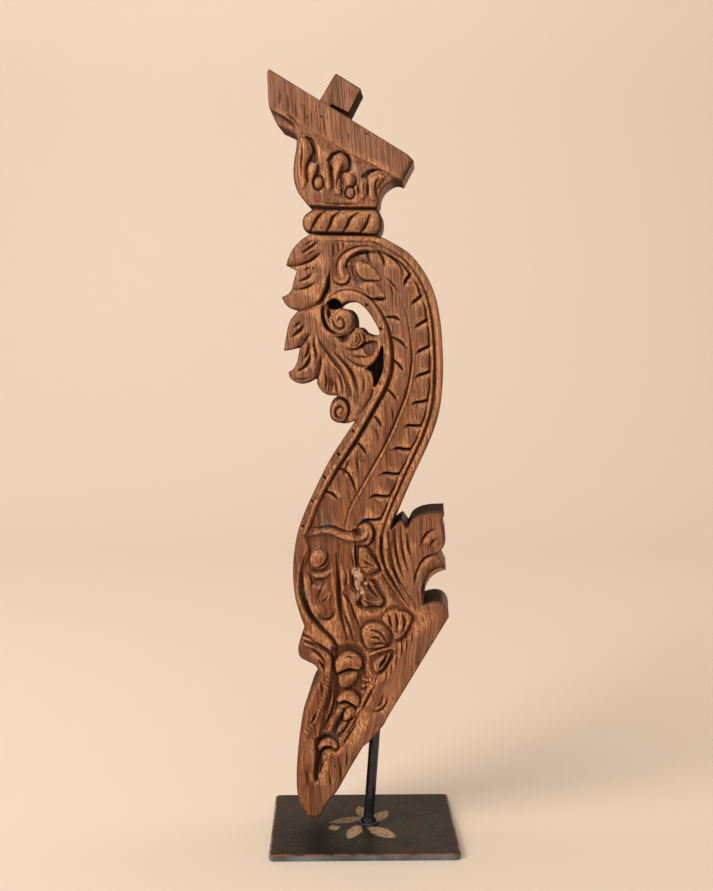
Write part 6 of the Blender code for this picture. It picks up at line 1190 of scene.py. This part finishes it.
def closed_line(stretches, step):
    """A closed outline as one ring of points, without repeats."""
    return np.vstack([smooth(points, step)[:-1] for _, points in stretches])


def scale():
    """Metres for each drawing millimetre."""
    return BRACKET_HEIGHT / DRAWN_HEIGHT


def rod_x(z):
    """The rod's axis leans towards +X, and this is its place at a height."""
    return ROD_FOOT + (z - PLATE_THICKNESS) * math.tan(ROD_LEAN)


def entry_height():
    """How high over the ground the rod's axis meets the wood."""
    return PLATE_THICKNESS + TIP_GAP + (ROD_ENTRY[1] - DRAWN_TIP) * scale()


def bracket_matrix():
    """Turns the drawing about the rod's axis, and stands its tip over the plate."""
    z = entry_height()
    turn = Matrix.Rotation(BRACKET_TURN, 4, "Z")
    return Matrix.Translation((rod_x(z), 0, z)) @ turn @ Matrix.Diagonal((scale(), 1, scale(), 1)) @ (
        Matrix.Translation((-ROD_ENTRY[0], 0, -ROD_ENTRY[1]))
    )


def add_object(name, mesh, look=None):
    made = bpy.data.objects.new(name, mesh)
    bpy.context.scene.collection.objects.link(made)
    if look:
        mesh.materials.append(look)
    return made


def mesh_from(bm, name):
    bmesh.ops.recalc_face_normals(bm, faces=bm.faces)
    mesh = bpy.data.meshes.new(name)
    bm.to_mesh(mesh)
    bm.free()
    return mesh


def evaluated_mesh(obj):
    """The mesh with its modifiers applied."""
    graph = bpy.context.evaluated_depsgraph_get()
    return bpy.data.meshes.new_from_object(obj.evaluated_get(graph), depsgraph=graph)


def lattice_between(outline, opening, step):
    """A triangular lattice of points inside the outline and outside the opening."""
    low = outline.min(0)
    high = outline.max(0)
    u = np.arange(low[0], high[0], step)
    w = np.arange(low[1], high[1], step * math.sqrt(3) / 2)
    shift = (np.arange(len(w)) % 2)[:, None] * step / 2
    lattice = np.column_stack([(u[None, :] + shift).ravel(), np.repeat(w, len(u))])
    rows, d = Relief(lattice).inside(outline, step)
    lattice = lattice[rows[d > step * LATTICE_GAP]]
    rows, d = Relief(lattice).inside(opening, step)
    return np.delete(lattice, rows[d > -step * LATTICE_GAP], axis=0)


def face_triangles(outline, opening, step):
    """Fills the outline with a triangular lattice. Returns its points and triangles."""
    points = np.vstack([outline, opening, lattice_between(outline, opening, step)])
    loops = []
    for first, count in ((0, len(outline)), (len(outline), len(opening))):
        loops += [(first + k, first + (k + 1) % count) for k in range(count)]
    found = delaunay_2d_cdt([Vector(p) for p in points], loops, [], 0, 1e-5)
    order = np.array([ids[0] if ids else 0 for ids in found[3]])
    triangles = order[np.array(found[2])]
    middle = Relief(points[triangles].mean(axis=1))
    keep = np.zeros(len(triangles), bool)
    rows, d = middle.inside(outline, step)
    keep[rows[d > SLIVER]] = True
    rows, d = middle.inside(opening, step)
    keep[rows[d > -SLIVER]] = False
    return points, triangles[keep]


def bracket_arrays():
    """The carved solid's points, in drawing units with the depth in metres, and its triangles."""
    outline = closed_line(OUTLINE, FRONT_STEP)
    opening = closed_line(OPENING, FRONT_STEP)
    depth = BRACKET_THICKNESS / DRAWN_THICKNESS
    places = []
    triangles = []
    rims = []
    count = 0
    for side, step in ((-1, FRONT_STEP), (1, BACK_STEP)):
        points, found = face_triangles(outline, opening, step)
        height = carve(points, front=side < 0)
        y = side * (BRACKET_THICKNESS / 2 + height * depth)
        places.append(np.column_stack([points[:, 0], y, points[:, 1]]))
        triangles.append(found[:, ::side] + count)
        rims.append(np.arange(len(outline) + len(opening)) + count)
        count += len(points)
    walls = [rims[0]]
    front = places[0][:len(rims[0])]
    back = places[1][:len(rims[1])]
    for row in range(1, SIDE_ROWS):
        share = row / SIDE_ROWS
        middle = front * (1 - share) + back * share
        places.append(worn_wall(middle, share, outline, opening))
        walls.append(np.arange(len(middle)) + count)
        count += len(middle)
    walls.append(rims[1])
    for first, size in ((0, len(outline)), (len(outline), len(opening))):
        here = np.arange(size) + first
        after = (np.arange(size) + 1) % size + first
        for near, far in zip(walls[:-1], walls[1:]):
            triangles.append(np.column_stack([near[here], far[here], far[after]]))
            triangles.append(np.column_stack([near[here], far[after], near[after]]))
    return np.vstack(places), np.vstack(triangles)


def inward_from(loop):
    """At each point of a closed line, the direction across it to its left."""
    run = np.roll(loop, -1, axis=0) - np.roll(loop, 1, axis=0)
    run /= np.linalg.norm(run, axis=1)[:, None]
    return np.column_stack([-run[:, 1], run[:, 0]])


def turning(loop):
    """1 for a loop that runs anticlockwise, and -1 for the other way."""
    after = np.roll(loop, -1, axis=0)
    return 1.0 if (loop[:, 0] * after[:, 1] - after[:, 0] * loop[:, 1]).sum() > 0 else -1.0


def worn_wall(places, share, outline, opening):
    """A row of the sawn sides: slightly hollow, and grooved where the roped ring runs round."""
    inward = np.vstack([inward_from(outline) * turning(outline), inward_from(opening) * -turning(opening)])
    u = places[:, 0]
    w = places[:, 2]
    y = places[:, 1] * 1000
    deep = SIDE_WEAR + SIDE_WEAR * np.sin(w * 0.21 + y * 0.05) * np.sin(y * 0.16 + w * 0.03)
    on_ring = (w > RING_MIDDLE - RING_HALF) & (w < RING_MIDDLE + RING_HALF)
    on_ring &= (u > RING_SIDES[1]) | (u < RING_SIDES[0])
    slant = (w - RING_MIDDLE) * RING_SLANT + y * np.where(u > 0, -1, 1)
    groove = np.abs((slant / RING_GROOVE_GAP + 0.5) % 1 - 0.5) * 2
    bulge = np.clip(1 - np.abs(w - RING_MIDDLE) / RING_HALF, 0, 1) ** 0.5
    rope = 0.2 + RING_GROOVE * np.clip(1 - groove / RING_GROOVE_SHARE, 0, 1) ** 2 * bulge
    deep = np.where(on_ring, rope, deep)
    deep *= np.clip(min(share, 1 - share) * SIDE_FADE, 0, 1)
    moved = places.copy()
    moved[:, 0] += inward[:, 0] * deep
    moved[:, 2] += inward[:, 1] * deep
    return moved


def on_slope(corners, front, depth, bevel, name):
    """A block standing on the sloping top: corners are metres along it and up from it."""
    a = np.array(TOP_SLOPE[0])
    b = np.array(TOP_SLOPE[1])
    run = (b - a) / np.linalg.norm(b - a)
    up = np.array([-run[1], run[0]])
    foot = a + (b - a) * TENON_FOOT
    points = [foot + (run * along_it + up * rise) / scale() for along_it, rise in corners]
    bm = bmesh.new()
    near = [bm.verts.new((u, front, w)) for u, w in points]
    far = [bm.verts.new((u, front + depth, w)) for u, w in points]
    bm.faces.new(near)
    bm.faces.new(far)
    for k in range(len(points)):
        after = (k + 1) % len(points)
        bm.faces.new((near[k], far[k], far[after], near[after]))
    bm.transform(bracket_matrix())
    if bevel:
        bmesh.ops.bevel(bm, geom=bm.edges, offset=bevel, segments=2, affect="EDGES")
    return mesh_from(bm, name)


def boolean(target, mesh, operation):
    operand = add_object(mesh.name, mesh)
    operand.hide_render = True
    modifier = target.modifiers.new(mesh.name, "BOOLEAN")
    modifier.operation = operation
    modifier.object = operand
    return operand


def blurred(field, size):
    """A field smoothed by three box filters, each size cells wide on either side."""
    wide = 2 * size + 1
    for axis in (0, 1):
        for _ in range(3):
            padded = np.concatenate([
                np.repeat(field.take([0], axis), size + 1, axis), field,
                np.repeat(field.take([-1], axis), size, axis),
            ], axis)
            total = padded.cumsum(axis)
            high = np.take(total, np.arange(wide, total.shape[axis]), axis)
            low = np.take(total, np.arange(0, total.shape[axis] - wide), axis)
            field = (high - low) / wide
    return field


def sampled(field, u, w):
    """The field's value at each point, between its four nearest cells."""
    x = np.clip((u - FIELD_LOW[0]) / CELL, 0, field.shape[1] - 1.001)
    y = np.clip((w - FIELD_LOW[1]) / CELL, 0, field.shape[0] - 1.001)
    i = x.astype(int)
    j = y.astype(int)
    fx = x - i
    fy = y - j
    top = field[j, i] * (1 - fx) + field[j, i + 1] * fx
    under = field[j + 1, i] * (1 - fx) + field[j + 1, i + 1] * fx
    return top * (1 - fy) + under * fy


def relief_fields(front):
    """Each cell's height, and the height of its surroundings, near and far."""
    u = np.arange(FIELD_LOW[0], FIELD_HIGH[0], CELL)
    w = np.arange(FIELD_LOW[1], FIELD_HIGH[1], CELL)
    grid = np.column_stack([np.tile(u, len(w)), np.repeat(w, len(u))])
    height = carve(grid, front=front).reshape(len(w), len(u))
    rows, d = Relief(grid).inside(closed_line(OUTLINE, 1.6), 3)
    wood = np.zeros(len(grid))
    wood[rows[d > 0]] = 1
    wood = wood.reshape(height.shape)
    near, far = (
        blurred(height * wood, size) / (blurred(wood, size) + 1e-6) for size in (NEAR_CELLS, FAR_CELLS)
    )
    return height, near, far


def on_tenon(u, w):
    """Whether points are on or over the sloping top."""
    a, b = TOP_SLOPE
    return (w - a[1]) * (b[0] - a[0]) > (u - a[0]) * (b[1] - a[1]) - SLOPE_MARGIN


def vertex_values(mesh, name):
    """A property of every vertex that is three numbers, one row for each vertex."""
    values = np.empty(len(mesh.vertices) * 3, np.float32)
    mesh.vertices.foreach_get(name, values)
    return values.reshape(-1, 3)


def add_attribute(mesh, name, values):
    made = mesh.attributes.new(name, "FLOAT", "POINT")
    made.data.foreach_set("value", np.ascontiguousarray(values, np.float32))


def carved_looks(u, y, w, away_from_light):
    """How hollow and proud each point of the wood is, for its painted shadow and highlight, how deep it is,
    and how much painted shade it gets as a sawn side.
    """
    half = BRACKET_THICKNESS / 2
    values = {name: np.zeros(len(u)) for name in ("hollow", "proud", "deep", "side")}
    plain = np.zeros(len(u), bool)
    for face in (TENON_SETBACK - half, TENON_SETBACK + TENON_THICKNESS - half):
        plain |= on_tenon(u, w) & (np.abs(y - face) < TENON_BEVEL / 2)
    for front in (True, False):
        height, near, far = relief_fields(front)
        mine = (y < 0) == front
        here = sampled(height, u, w)
        # Painted shadow: a point is set against its surroundings a little up and to the left, so a hollow
        # darkens below and right of what stands over it, as if lit from the upper left.
        over_near = here - sampled(near, u - SHADOW_SHIFT, w + SHADOW_SHIFT)
        over_far = here - sampled(far, u, w)
        hollow = np.clip(-over_near / HOLLOW_NEAR, 0, 1) + 0.5 * np.clip(-over_far / HOLLOW_FAR, 0, 1)
        # Painted highlight: points higher than their surroundings up and to the left are lightened, as if
        # lit from the upper left.
        proud = np.clip(over_near / PROUD_NEAR, 0, 1) + 0.25 * np.clip(over_far / PROUD_FAR, 0, 1)
        surface = half + here * 0.001
        side = np.clip((surface - np.abs(y) - SIDE_START) / SIDE_GROWTH, 0, 1)
        carved = np.where(plain, 0, 1 - side)
        values["hollow"] = np.where(mine, hollow * carved, values["hollow"])
        values["proud"] = np.where(mine, proud * carved, values["proud"])
        values["deep"] = np.where(mine, np.clip(-here / DEEPEST, 0, 1) * carved, values["deep"])
        values["side"] = np.where(mine & ~plain, side * away_from_light, values["side"])
    return values


def paint_wood(mesh):
    """Keeps with each point what its wood is like, with its painted shade and highlight: hollow, proud,
    deep, side, painted, torn, and its grain.
    """
    back_to_drawing = np.array(bracket_matrix().inverted())
    place = vertex_values(mesh, "co") @ back_to_drawing[:3, :3].T + back_to_drawing[:3, 3]
    u = place[:, 0]
    y = place[:, 1]
    w = place[:, 2]
    # Painted shade: sides that face right, away from the light, are darkened more than those that face left.
    away_from_light = np.clip(1.3 + 1.6 * vertex_values(mesh, "normal")[:, 0], 0.25, 1)
    values = carved_looks(u, y, w, away_from_light)
    paint = np.zeros(len(u))
    for pu, pw, size in PAINT_SPOTS:
        paint = np.maximum(paint, np.exp(-((u - pu) ** 2 + (w - pw) ** 2) / (size * 1.6) ** 2))
    torn = np.zeros(len(u))
    for pu, pw, wide, high in TORN:
        torn = np.maximum(torn, np.clip(1.4 - np.hypot((u - pu) / wide, (w - pw) / high), 0, 1))
    front_side = y < -BRACKET_THICKNESS / 2 + FRONT_DEPTH
    values["paint"] = np.where(front_side, paint, 0)
    values["torn"] = np.where(front_side, torn, 0)
    bound = np.where(w < BLEACHED_FAN_LOW, 0.565 * (w - 100) - 20, BLEACHED_FAN_LEFT)
    bleached = np.clip((u - bound) / 8, 0, 1) * np.clip((BLEACHED_TOP - w) / 30, 0, 1)
    values["bleached"] = bleached * BLEACHED_SHARE
    across = u + GRAIN_LEAN * w
    for pu, pw, size, strength in KNOTS:
        r2 = ((u - pu) ** 2 + ((w - pw) * 0.6) ** 2) / size ** 2
        across = across + strength * size * 0.8 * np.sign(u - pu) * np.exp(-r2)
    values["across"] = across * 0.001
    values["along"] = w * 0.001
    values["through"] = y
    for name, value in values.items():
        add_attribute(mesh, name, value)


class Nodes:
    """Adds shader nodes in the order that they are needed."""

    def __init__(self, name):
        self.material = bpy.data.materials.new(name)
        self.material.use_nodes = True
        self.tree = self.material.node_tree
        self.shader = self.tree.nodes["Principled BSDF"]

    def wire(self, value, socket):
        if isinstance(value, bpy.types.NodeSocket):
            self.tree.links.new(value, socket)
        elif isinstance(value, tuple) and len(value) == 3 and socket.type == "RGBA":
            socket.default_value = (*value, 1)
        else:
            socket.default_value = value

    def node(self, kind, values=(), **settings):
        """A node with its settings, and its inputs wired in their order."""
        node = self.tree.nodes.new("ShaderNode" + kind)
        for name, setting in settings.items():
            setattr(node, name, setting)
        for value, socket in zip(values, node.inputs):
            self.wire(value, socket)
        return node

    def attribute(self, name):
        return self.node("Attribute", attribute_name=name).outputs["Fac"]

    def place(self):
        return self.node("TexCoord").outputs["Object"]

    def vector(self, x, y, z):
        return self.node("CombineXYZ", (x, y, z)).outputs[0]

    def parts(self, vector):
        return self.node("SeparateXYZ", (vector,)).outputs

    def scaled(self, vector, sizes):
        return self.node("VectorMath", (vector, sizes), operation="MULTIPLY").outputs[0]

    def texture(self, kind, vector, **sockets):
        node = self.node(kind)
        self.wire(vector, node.inputs["Vector"])
        for name, value in sockets.items():
            node.inputs[name].default_value = value
        return node

    def noise(self, vector, size, detail, rough, distortion=0.0):
        return self.texture(
            "TexNoise", vector, Scale=size, Detail=detail, Roughness=rough, Distortion=distortion,
        ).outputs["Fac"]

    def cells(self, vector, size):
        return self.texture("TexVoronoi", vector, Scale=size).outputs["Distance"]

    def math(self, operation, a, b=0.0):
        return self.node("Math", (a, b), operation=operation).outputs[0]

    def times(self, a, b):
        return self.math("MULTIPLY", a, b)

    def plus(self, a, b, share=1.0):
        """a, and a share of b."""
        return self.math("ADD", a, b if share == 1.0 else self.times(b, share))

    def most(self, a, b):
        return self.math("MAXIMUM", a, b)

    def span(self, value, low, high, to_low=0.0, to_high=1.0):
        """Maps low..high to to_low..to_high, and no further."""
        values = (value, low, high, to_low, to_high)
        return self.node("MapRange", values, interpolation_type="SMOOTHSTEP").outputs[0]

    def mix(self, share, a, b):
        node = self.node("Mix", data_type="RGBA")
        self.wire(share, node.inputs[0])
        self.wire(a, node.inputs[6])
        self.wire(b, node.inputs[7])
        return node.outputs[2]

    def bump(self, height, distance, strength):
        node = self.node("Bump")
        node.inputs["Distance"].default_value = distance
        node.inputs["Strength"].default_value = strength
        self.wire(height, node.inputs["Height"])
        return node.outputs[0]

    def finish(self, **sockets):
        for name, value in sockets.items():
            self.wire(value, self.shader.inputs[name.replace("_", " ")])
        return self.material


def wood_material():
    n = Nodes("old_teak")
    grain = n.vector(n.attribute("across"), n.attribute("through"), n.attribute("along"))
    fibre = n.noise(n.scaled(grain, (1.0, 1.0, 0.04)), 2300, 3, 0.65)
    fine = n.noise(n.scaled(grain, (1.0, 1.0, 0.03)), 1150, 3, 0.6)
    lines = n.noise(n.scaled(grain, (1.0, 1.0, 0.016)), 760, 4, 0.65, 0.3)
    bands = n.noise(n.scaled(grain, (1.0, 0.6, 0.05)), 120, 4, 0.60)
    clouds = n.noise(n.scaled(grain, (1.0, 1.0, 0.5)), 24, 3, 0.5)
    specks = n.noise(n.scaled(grain, (1.0, 1.0, 0.25)), 900, 3, 0.65)
    flakes = n.noise(n.scaled(grain, (1, 1, 0.3)), 420, 3, 0.65)
    pores = n.span(n.cells(n.scaled(grain, (1.0, 1.0, 0.09)), 800), 0.08, 0.22, 0.65, 0.0)
    holes = n.span(n.cells(n.scaled(n.place(), (1, 1, 0.8)), 52), 0.040, 0.055, 1.0, 0.0)
    proud = n.attribute("proud")
    hollow = n.attribute("hollow")
    deep = n.attribute("deep")
    side = n.attribute("side")
    # The timber itself, redder below and greyer above.
    high = n.most(n.span(n.attribute("along"), 0.20, 0.52), n.attribute("bleached"))
    colour = n.mix(n.span(bands, 0.30, 0.70), n.mix(high, *TEAK_DARK), n.mix(high, *TEAK_PALE))
    colour = n.mix(n.span(clouds, 0.38, 0.72, 0.0, 0.45), colour, n.mix(high, *TEAK_CLOUD))
    colour = n.mix(n.span(fine, 0.50, 0.62, 0.0, 0.45), colour, TEAK_FINE)
    colour = n.mix(n.span(fibre, 0.52, 0.64, 0.0, 0.45), colour, TEAK_FIBRE)
    colour = n.mix(n.span(lines, 0.55, 0.64, 0.0, 0.56), colour, TEAK_LINE)
    # Rubbed edges with painted highlights, then dirt and painted shade in the hollows, and painted shade on
    # the sides.
    # Painted highlight: proud edges are lightened, partly for rubbing and partly for the light they catch.
    worn_and_lit = n.times(n.span(proud, 0.20, 0.72), n.span(specks, 0.40, 0.58, 0.15, 1.0))
    colour = n.mix(n.times(worn_and_lit, 0.95), colour, RUBBED_EDGE_AND_HIGHLIGHT)
    # Painted shade: hollows and deep places are darkened, partly for dirt in them and partly for the shade
    # that falls there.
    shade = n.most(n.span(hollow, 0.06, 0.85), n.span(deep, 0.45, 1.0, 0.0, 0.55))
    colour = n.mix(n.times(shade, 0.72), colour, HOLLOW_DIRT_AND_SHADE)
    # Painted shadow: the deepest hollows go nearly black.
    black = n.most(n.span(hollow, 0.95, 1.45), n.span(deep, 1.2, 2.2))
    colour = n.mix(n.times(black, 0.85), colour, DEEP_SHADOW)
    # Painted shade on the sawn sides, most where they face away from the light.
    colour = n.mix(n.span(side, 0.1, 0.9, 0.0, 0.86), colour, SIDE_SHADE)
    colour = n.mix(pores, colour, PORE)
    # Old paint, torn wood and worm holes.
    paint = n.times(n.attribute("paint"), n.span(flakes, 0.46, 0.60))
    paint = n.times(paint, n.span(deep, 0.15, 0.5))
    colour = n.mix(n.times(paint, 0.8), colour, OLD_PAINT)
    torn = n.plus(n.attribute("torn"), specks, 0.9)
    colour = n.mix(n.span(torn, 0.86, 0.98), colour, TORN_WOOD)
    colour = n.mix(holes, colour, WORM_HOLE)
    rise = n.plus(n.times(fine, 0.5), n.span(lines, 0.5, 0.63), -0.7)
    for value, share in ((specks, 0.45), (pores, -0.5), (holes, -2.0)):
        rise = n.plus(rise, value, share)
    rough = n.span(bands, 0.3, 0.7, 0.38, 0.50)
    for value, share in ((shade, 0.25), (side, 0.2)):
        rough = n.plus(rough, value, share)
    shine = n.span(side, 0.1, 0.9, 0.42, 0.03)
    normal = n.bump(rise, 0.0011, 1.0)
    return n.finish(Base_Color=colour, Roughness=rough, Normal=normal, Specular_IOR_Level=shine)


def add_wood():
    """The carved wood with its tenon and saw cut, in place of the solid."""
    places, triangles = bracket_arrays()
    mesh = bpy.data.meshes.new("wood")
    matrix = np.array(bracket_matrix())
    places = places @ matrix[:3, :3].T + matrix[:3, 3]
    mesh.from_pydata(places.tolist(), [], triangles.tolist())
    mesh.update()
    rough = add_object("wood_rough", mesh)
    thin = rough.modifiers.new("thin", "DECIMATE")
    thin.ratio = min(KEPT_TRIANGLES / len(triangles), 1)
    front = -BRACKET_THICKNESS / 2 + TENON_SETBACK
    tenon = [
        (0, -TENON_ROOT), (TENON_WIDTH, -TENON_ROOT), (TENON_WIDTH - TENON_TAPER, TENON_LENGTH),
        (0, TENON_LENGTH),
    ]
    end = TENON_WIDTH + OVERRUN
    kerf = [
        (KERF_START, KERF_LOW), (end, KERF_LOW), (end, KERF_FAR_HEIGHT), (KERF_START, KERF_NEAR_HEIGHT),
    ]
    helpers = [
        boolean(rough, on_slope(tenon, front, TENON_THICKNESS, TENON_BEVEL, "tenon"), "UNION"),
        boolean(rough, on_slope(kerf, front - OVERRUN, OVERRUN + KERF_DEPTH, 0, "kerf"), "DIFFERENCE"),
    ]
    made = evaluated_mesh(rough)
    for old in helpers + [rough]:
        bpy.data.objects.remove(old)
    made.name = "wood_carving"
    paint_wood(made)
    made.materials.clear()
    wood = add_object("wood_carving", made, wood_material())
    made.shade_smooth()
    made.set_sharp_from_angle(angle=SHARP_EDGE)
    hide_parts("carved_bracket")
    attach(wood, "root")


def steel_material():
    n = Nodes("black_bar")
    place = n.place()
    cloud = n.noise(n.scaled(place, (1, 1, 0.4)), 70, 4, 0.6)
    speck = n.noise(place, 900, 3, 0.6)
    colour = n.mix(n.span(cloud, 0.35, 0.7), BAR_BLACK, BAR_BLUE)
    colour = n.mix(n.span(speck, 0.66, 0.74, 0.0, 0.5), colour, BAR_SPECK)
    rough = n.span(cloud, 0.3, 0.7, 0.08, 0.16)
    return n.finish(Base_Color=colour, Roughness=rough, Metallic=0.05, Normal=n.bump(cloud, 0.0006, 0.3))


def petal(n, x, y, ragged, shape):
    """1 inside a painted petal: its middle, half sizes in metres and turn in degrees."""
    place_x, place_y, long, wide, turn = shape
    a = math.radians(turn)
    dx = n.math("SUBTRACT", x, place_x)
    dy = n.math("SUBTRACT", y, place_y)
    run = n.plus(n.times(dx, math.cos(a)), dy, math.sin(a))
    off = n.math("SUBTRACT", n.times(dy, math.cos(a)), n.times(dx, math.sin(a)))
    run = n.math("ABSOLUTE", n.math("DIVIDE", run, long))
    off = n.math("ABSOLUTE", n.math("DIVIDE", off, wide))
    reach = n.plus(n.math("POWER", run, 1.7), n.math("POWER", off, 1.3))
    return n.span(n.plus(reach, ragged, 0.9), 1.34, 1.50, 1.0, 0.0)


def plate_material():
    n = Nodes("plate_paint")
    place = n.place()
    x, y, z = n.parts(place)
    cloud = n.noise(place, 22, 4, 0.55)
    fine = n.noise(place, 420, 4, 0.6)
    red = n.noise(n.scaled(place, (1, 1.4, 1)), 30, 3, 0.55)
    blue = n.noise(n.scaled(place, (1.3, 1, 1)), 36, 3, 0.6)
    ragged = n.noise(place, 300, 3, 0.6)
    chipped = n.noise(place, 60, 3, 0.6)
    colour = n.mix(n.span(cloud, 0.32, 0.68), PLATE_DARK, PLATE_BROWN)
    colour = n.mix(n.span(red, 0.56, 0.76, 0.0, 0.6), colour, PLATE_RED)
    colour = n.mix(n.span(blue, 0.60, 0.80, 0.0, 0.5), colour, PLATE_BLUE)
    painted = 0.0
    for shape in PETALS:
        painted = n.most(painted, petal(n, x, y, ragged, shape))
    painted = n.times(painted, n.span(fine, 0.32, 0.46, 0.70, 1.0))
    tan = n.mix(n.span(fine, 0.35, 0.65), PETAL_DARK, PETAL_PALE)
    colour = n.mix(n.times(painted, 0.85), colour, tan)
    # Rust along the rim, and the paint rubbed off the left and right edges, with a painted highlight on
    # their bevels.
    side = n.math("SUBTRACT", n.math("ABSOLUTE", x), PLATE_WIDTH / 2)
    end = n.math("SUBTRACT", n.math("ABSOLUTE", y), PLATE_DEPTH / 2)
    edge = n.plus(n.most(side, end), fine, 0.0016)
    rust = n.mix(n.span(chipped, 0.46, 0.62), RUST_BRIGHT, RUST_DARK)
    colour = n.mix(n.span(edge, -0.0014, 0.0002, 0.0, 0.90), colour, rust)
    rubbed_and_glinting = n.times(n.span(side, -0.0022, -0.0012), n.span(chipped, 0.46, 0.54, 1.0, 0.15))
    colour = n.mix(rubbed_and_glinting, colour, RUBBED_STEEL_AND_GLINT)
    on_side = n.span(z, PLATE_THICKNESS - 0.0006, PLATE_THICKNESS - 0.0012)
    bare = n.mix(n.span(cloud, 0.35, 0.65), SIDE_STEEL_DARK, SIDE_STEEL_PALE)
    bare = n.mix(n.span(red, 0.54, 0.68, 0.0, 0.85), bare, SIDE_RUST)
    colour = n.mix(on_side, colour, bare)
    rough = n.span(fine, 0.3, 0.7, 0.34, 0.50)
    normal = n.bump(fine, 0.00015, 0.4)
    return n.finish(Base_Color=colour, Roughness=rough, Normal=normal, Specular_IOR_Level=0.12)


def add_stand():
    """Gives the rod, its ring and the plate their looks."""
    for name, look in (
        ("support_rod", steel_material()), ("foot_ring", steel_material()), ("base_plate", plate_material()),
    ):
        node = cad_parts[name]
        node.data.materials.clear()
        node.data.materials.append(look)


def add_stage():
    """A seamless sheet: the floor, a wide bend and the wall behind."""
    bm = bmesh.new()
    bend_start = SHEET_BACK - SHEET_BEND
    profile = [(SHEET_FRONT, 0.0), (bend_start, 0.0)]
    for k in range(1, SHEET_STEPS + 1):
        angle = math.pi / 2 * k / SHEET_STEPS
        out = SHEET_BEND * math.sin(angle)
        up = SHEET_BEND - SHEET_BEND * math.cos(angle)
        profile.append((bend_start + out, up))
    profile.append((SHEET_BACK, SHEET_TOP))
    rows = [[bm.verts.new((side * SHEET_REACH, y, z)) for side in (-1, 1)] for y, z in profile]
    for low, high in zip(rows[:-1], rows[1:]):
        bm.faces.new((low[0], low[1], high[1], high[0]))
    paper = Nodes("peach_paper").finish(Base_Color=PEACH_PAPER, Roughness=0.95)
    sheet = add_object("backdrop", mesh_from(bm, "backdrop"), paper)
    sheet.data.shade_smooth()


def add_light(name, place, aim, size, power, colour):
    data = bpy.data.lights.new(name, "AREA")
    data.shape = "RECTANGLE"
    data.size, data.size_y = size
    data.energy = power
    data.color = colour
    light = bpy.data.objects.new(name, data)
    light.location = place
    light.rotation_euler = (Vector(aim) - Vector(place)).to_track_quat("-Z", "Y").to_euler()
    bpy.context.scene.collection.objects.link(light)


def add_camera():
    data = bpy.data.cameras.new("camera")
    data.lens = CAMERA_LENS
    camera = bpy.data.objects.new("camera", data)
    camera.location = CAMERA_PLACE
    camera.rotation_euler = (math.pi / 2 - CAMERA_DOWN, 0, CAMERA_YAW)
    bpy.context.scene.collection.objects.link(camera)
    bpy.context.scene.camera = camera


def set_scene():
    """Plain colours, and the room's own soft light."""
    scene = bpy.context.scene
    scene.view_settings.view_transform = "Standard"
    world = bpy.data.worlds.new("soft_room")
    scene.world = world
    world.use_nodes = True
    sky = world.node_tree.nodes["Background"]
    sky.inputs["Color"].default_value = (*ROOM_COLOUR, 1)
    sky.inputs["Strength"].default_value = ROOM_POWER


add_wood()
add_stand()
add_stage()
for light_name, light_values in LIGHTS.items():
    add_light(light_name, *light_values)
add_camera()
set_scene()
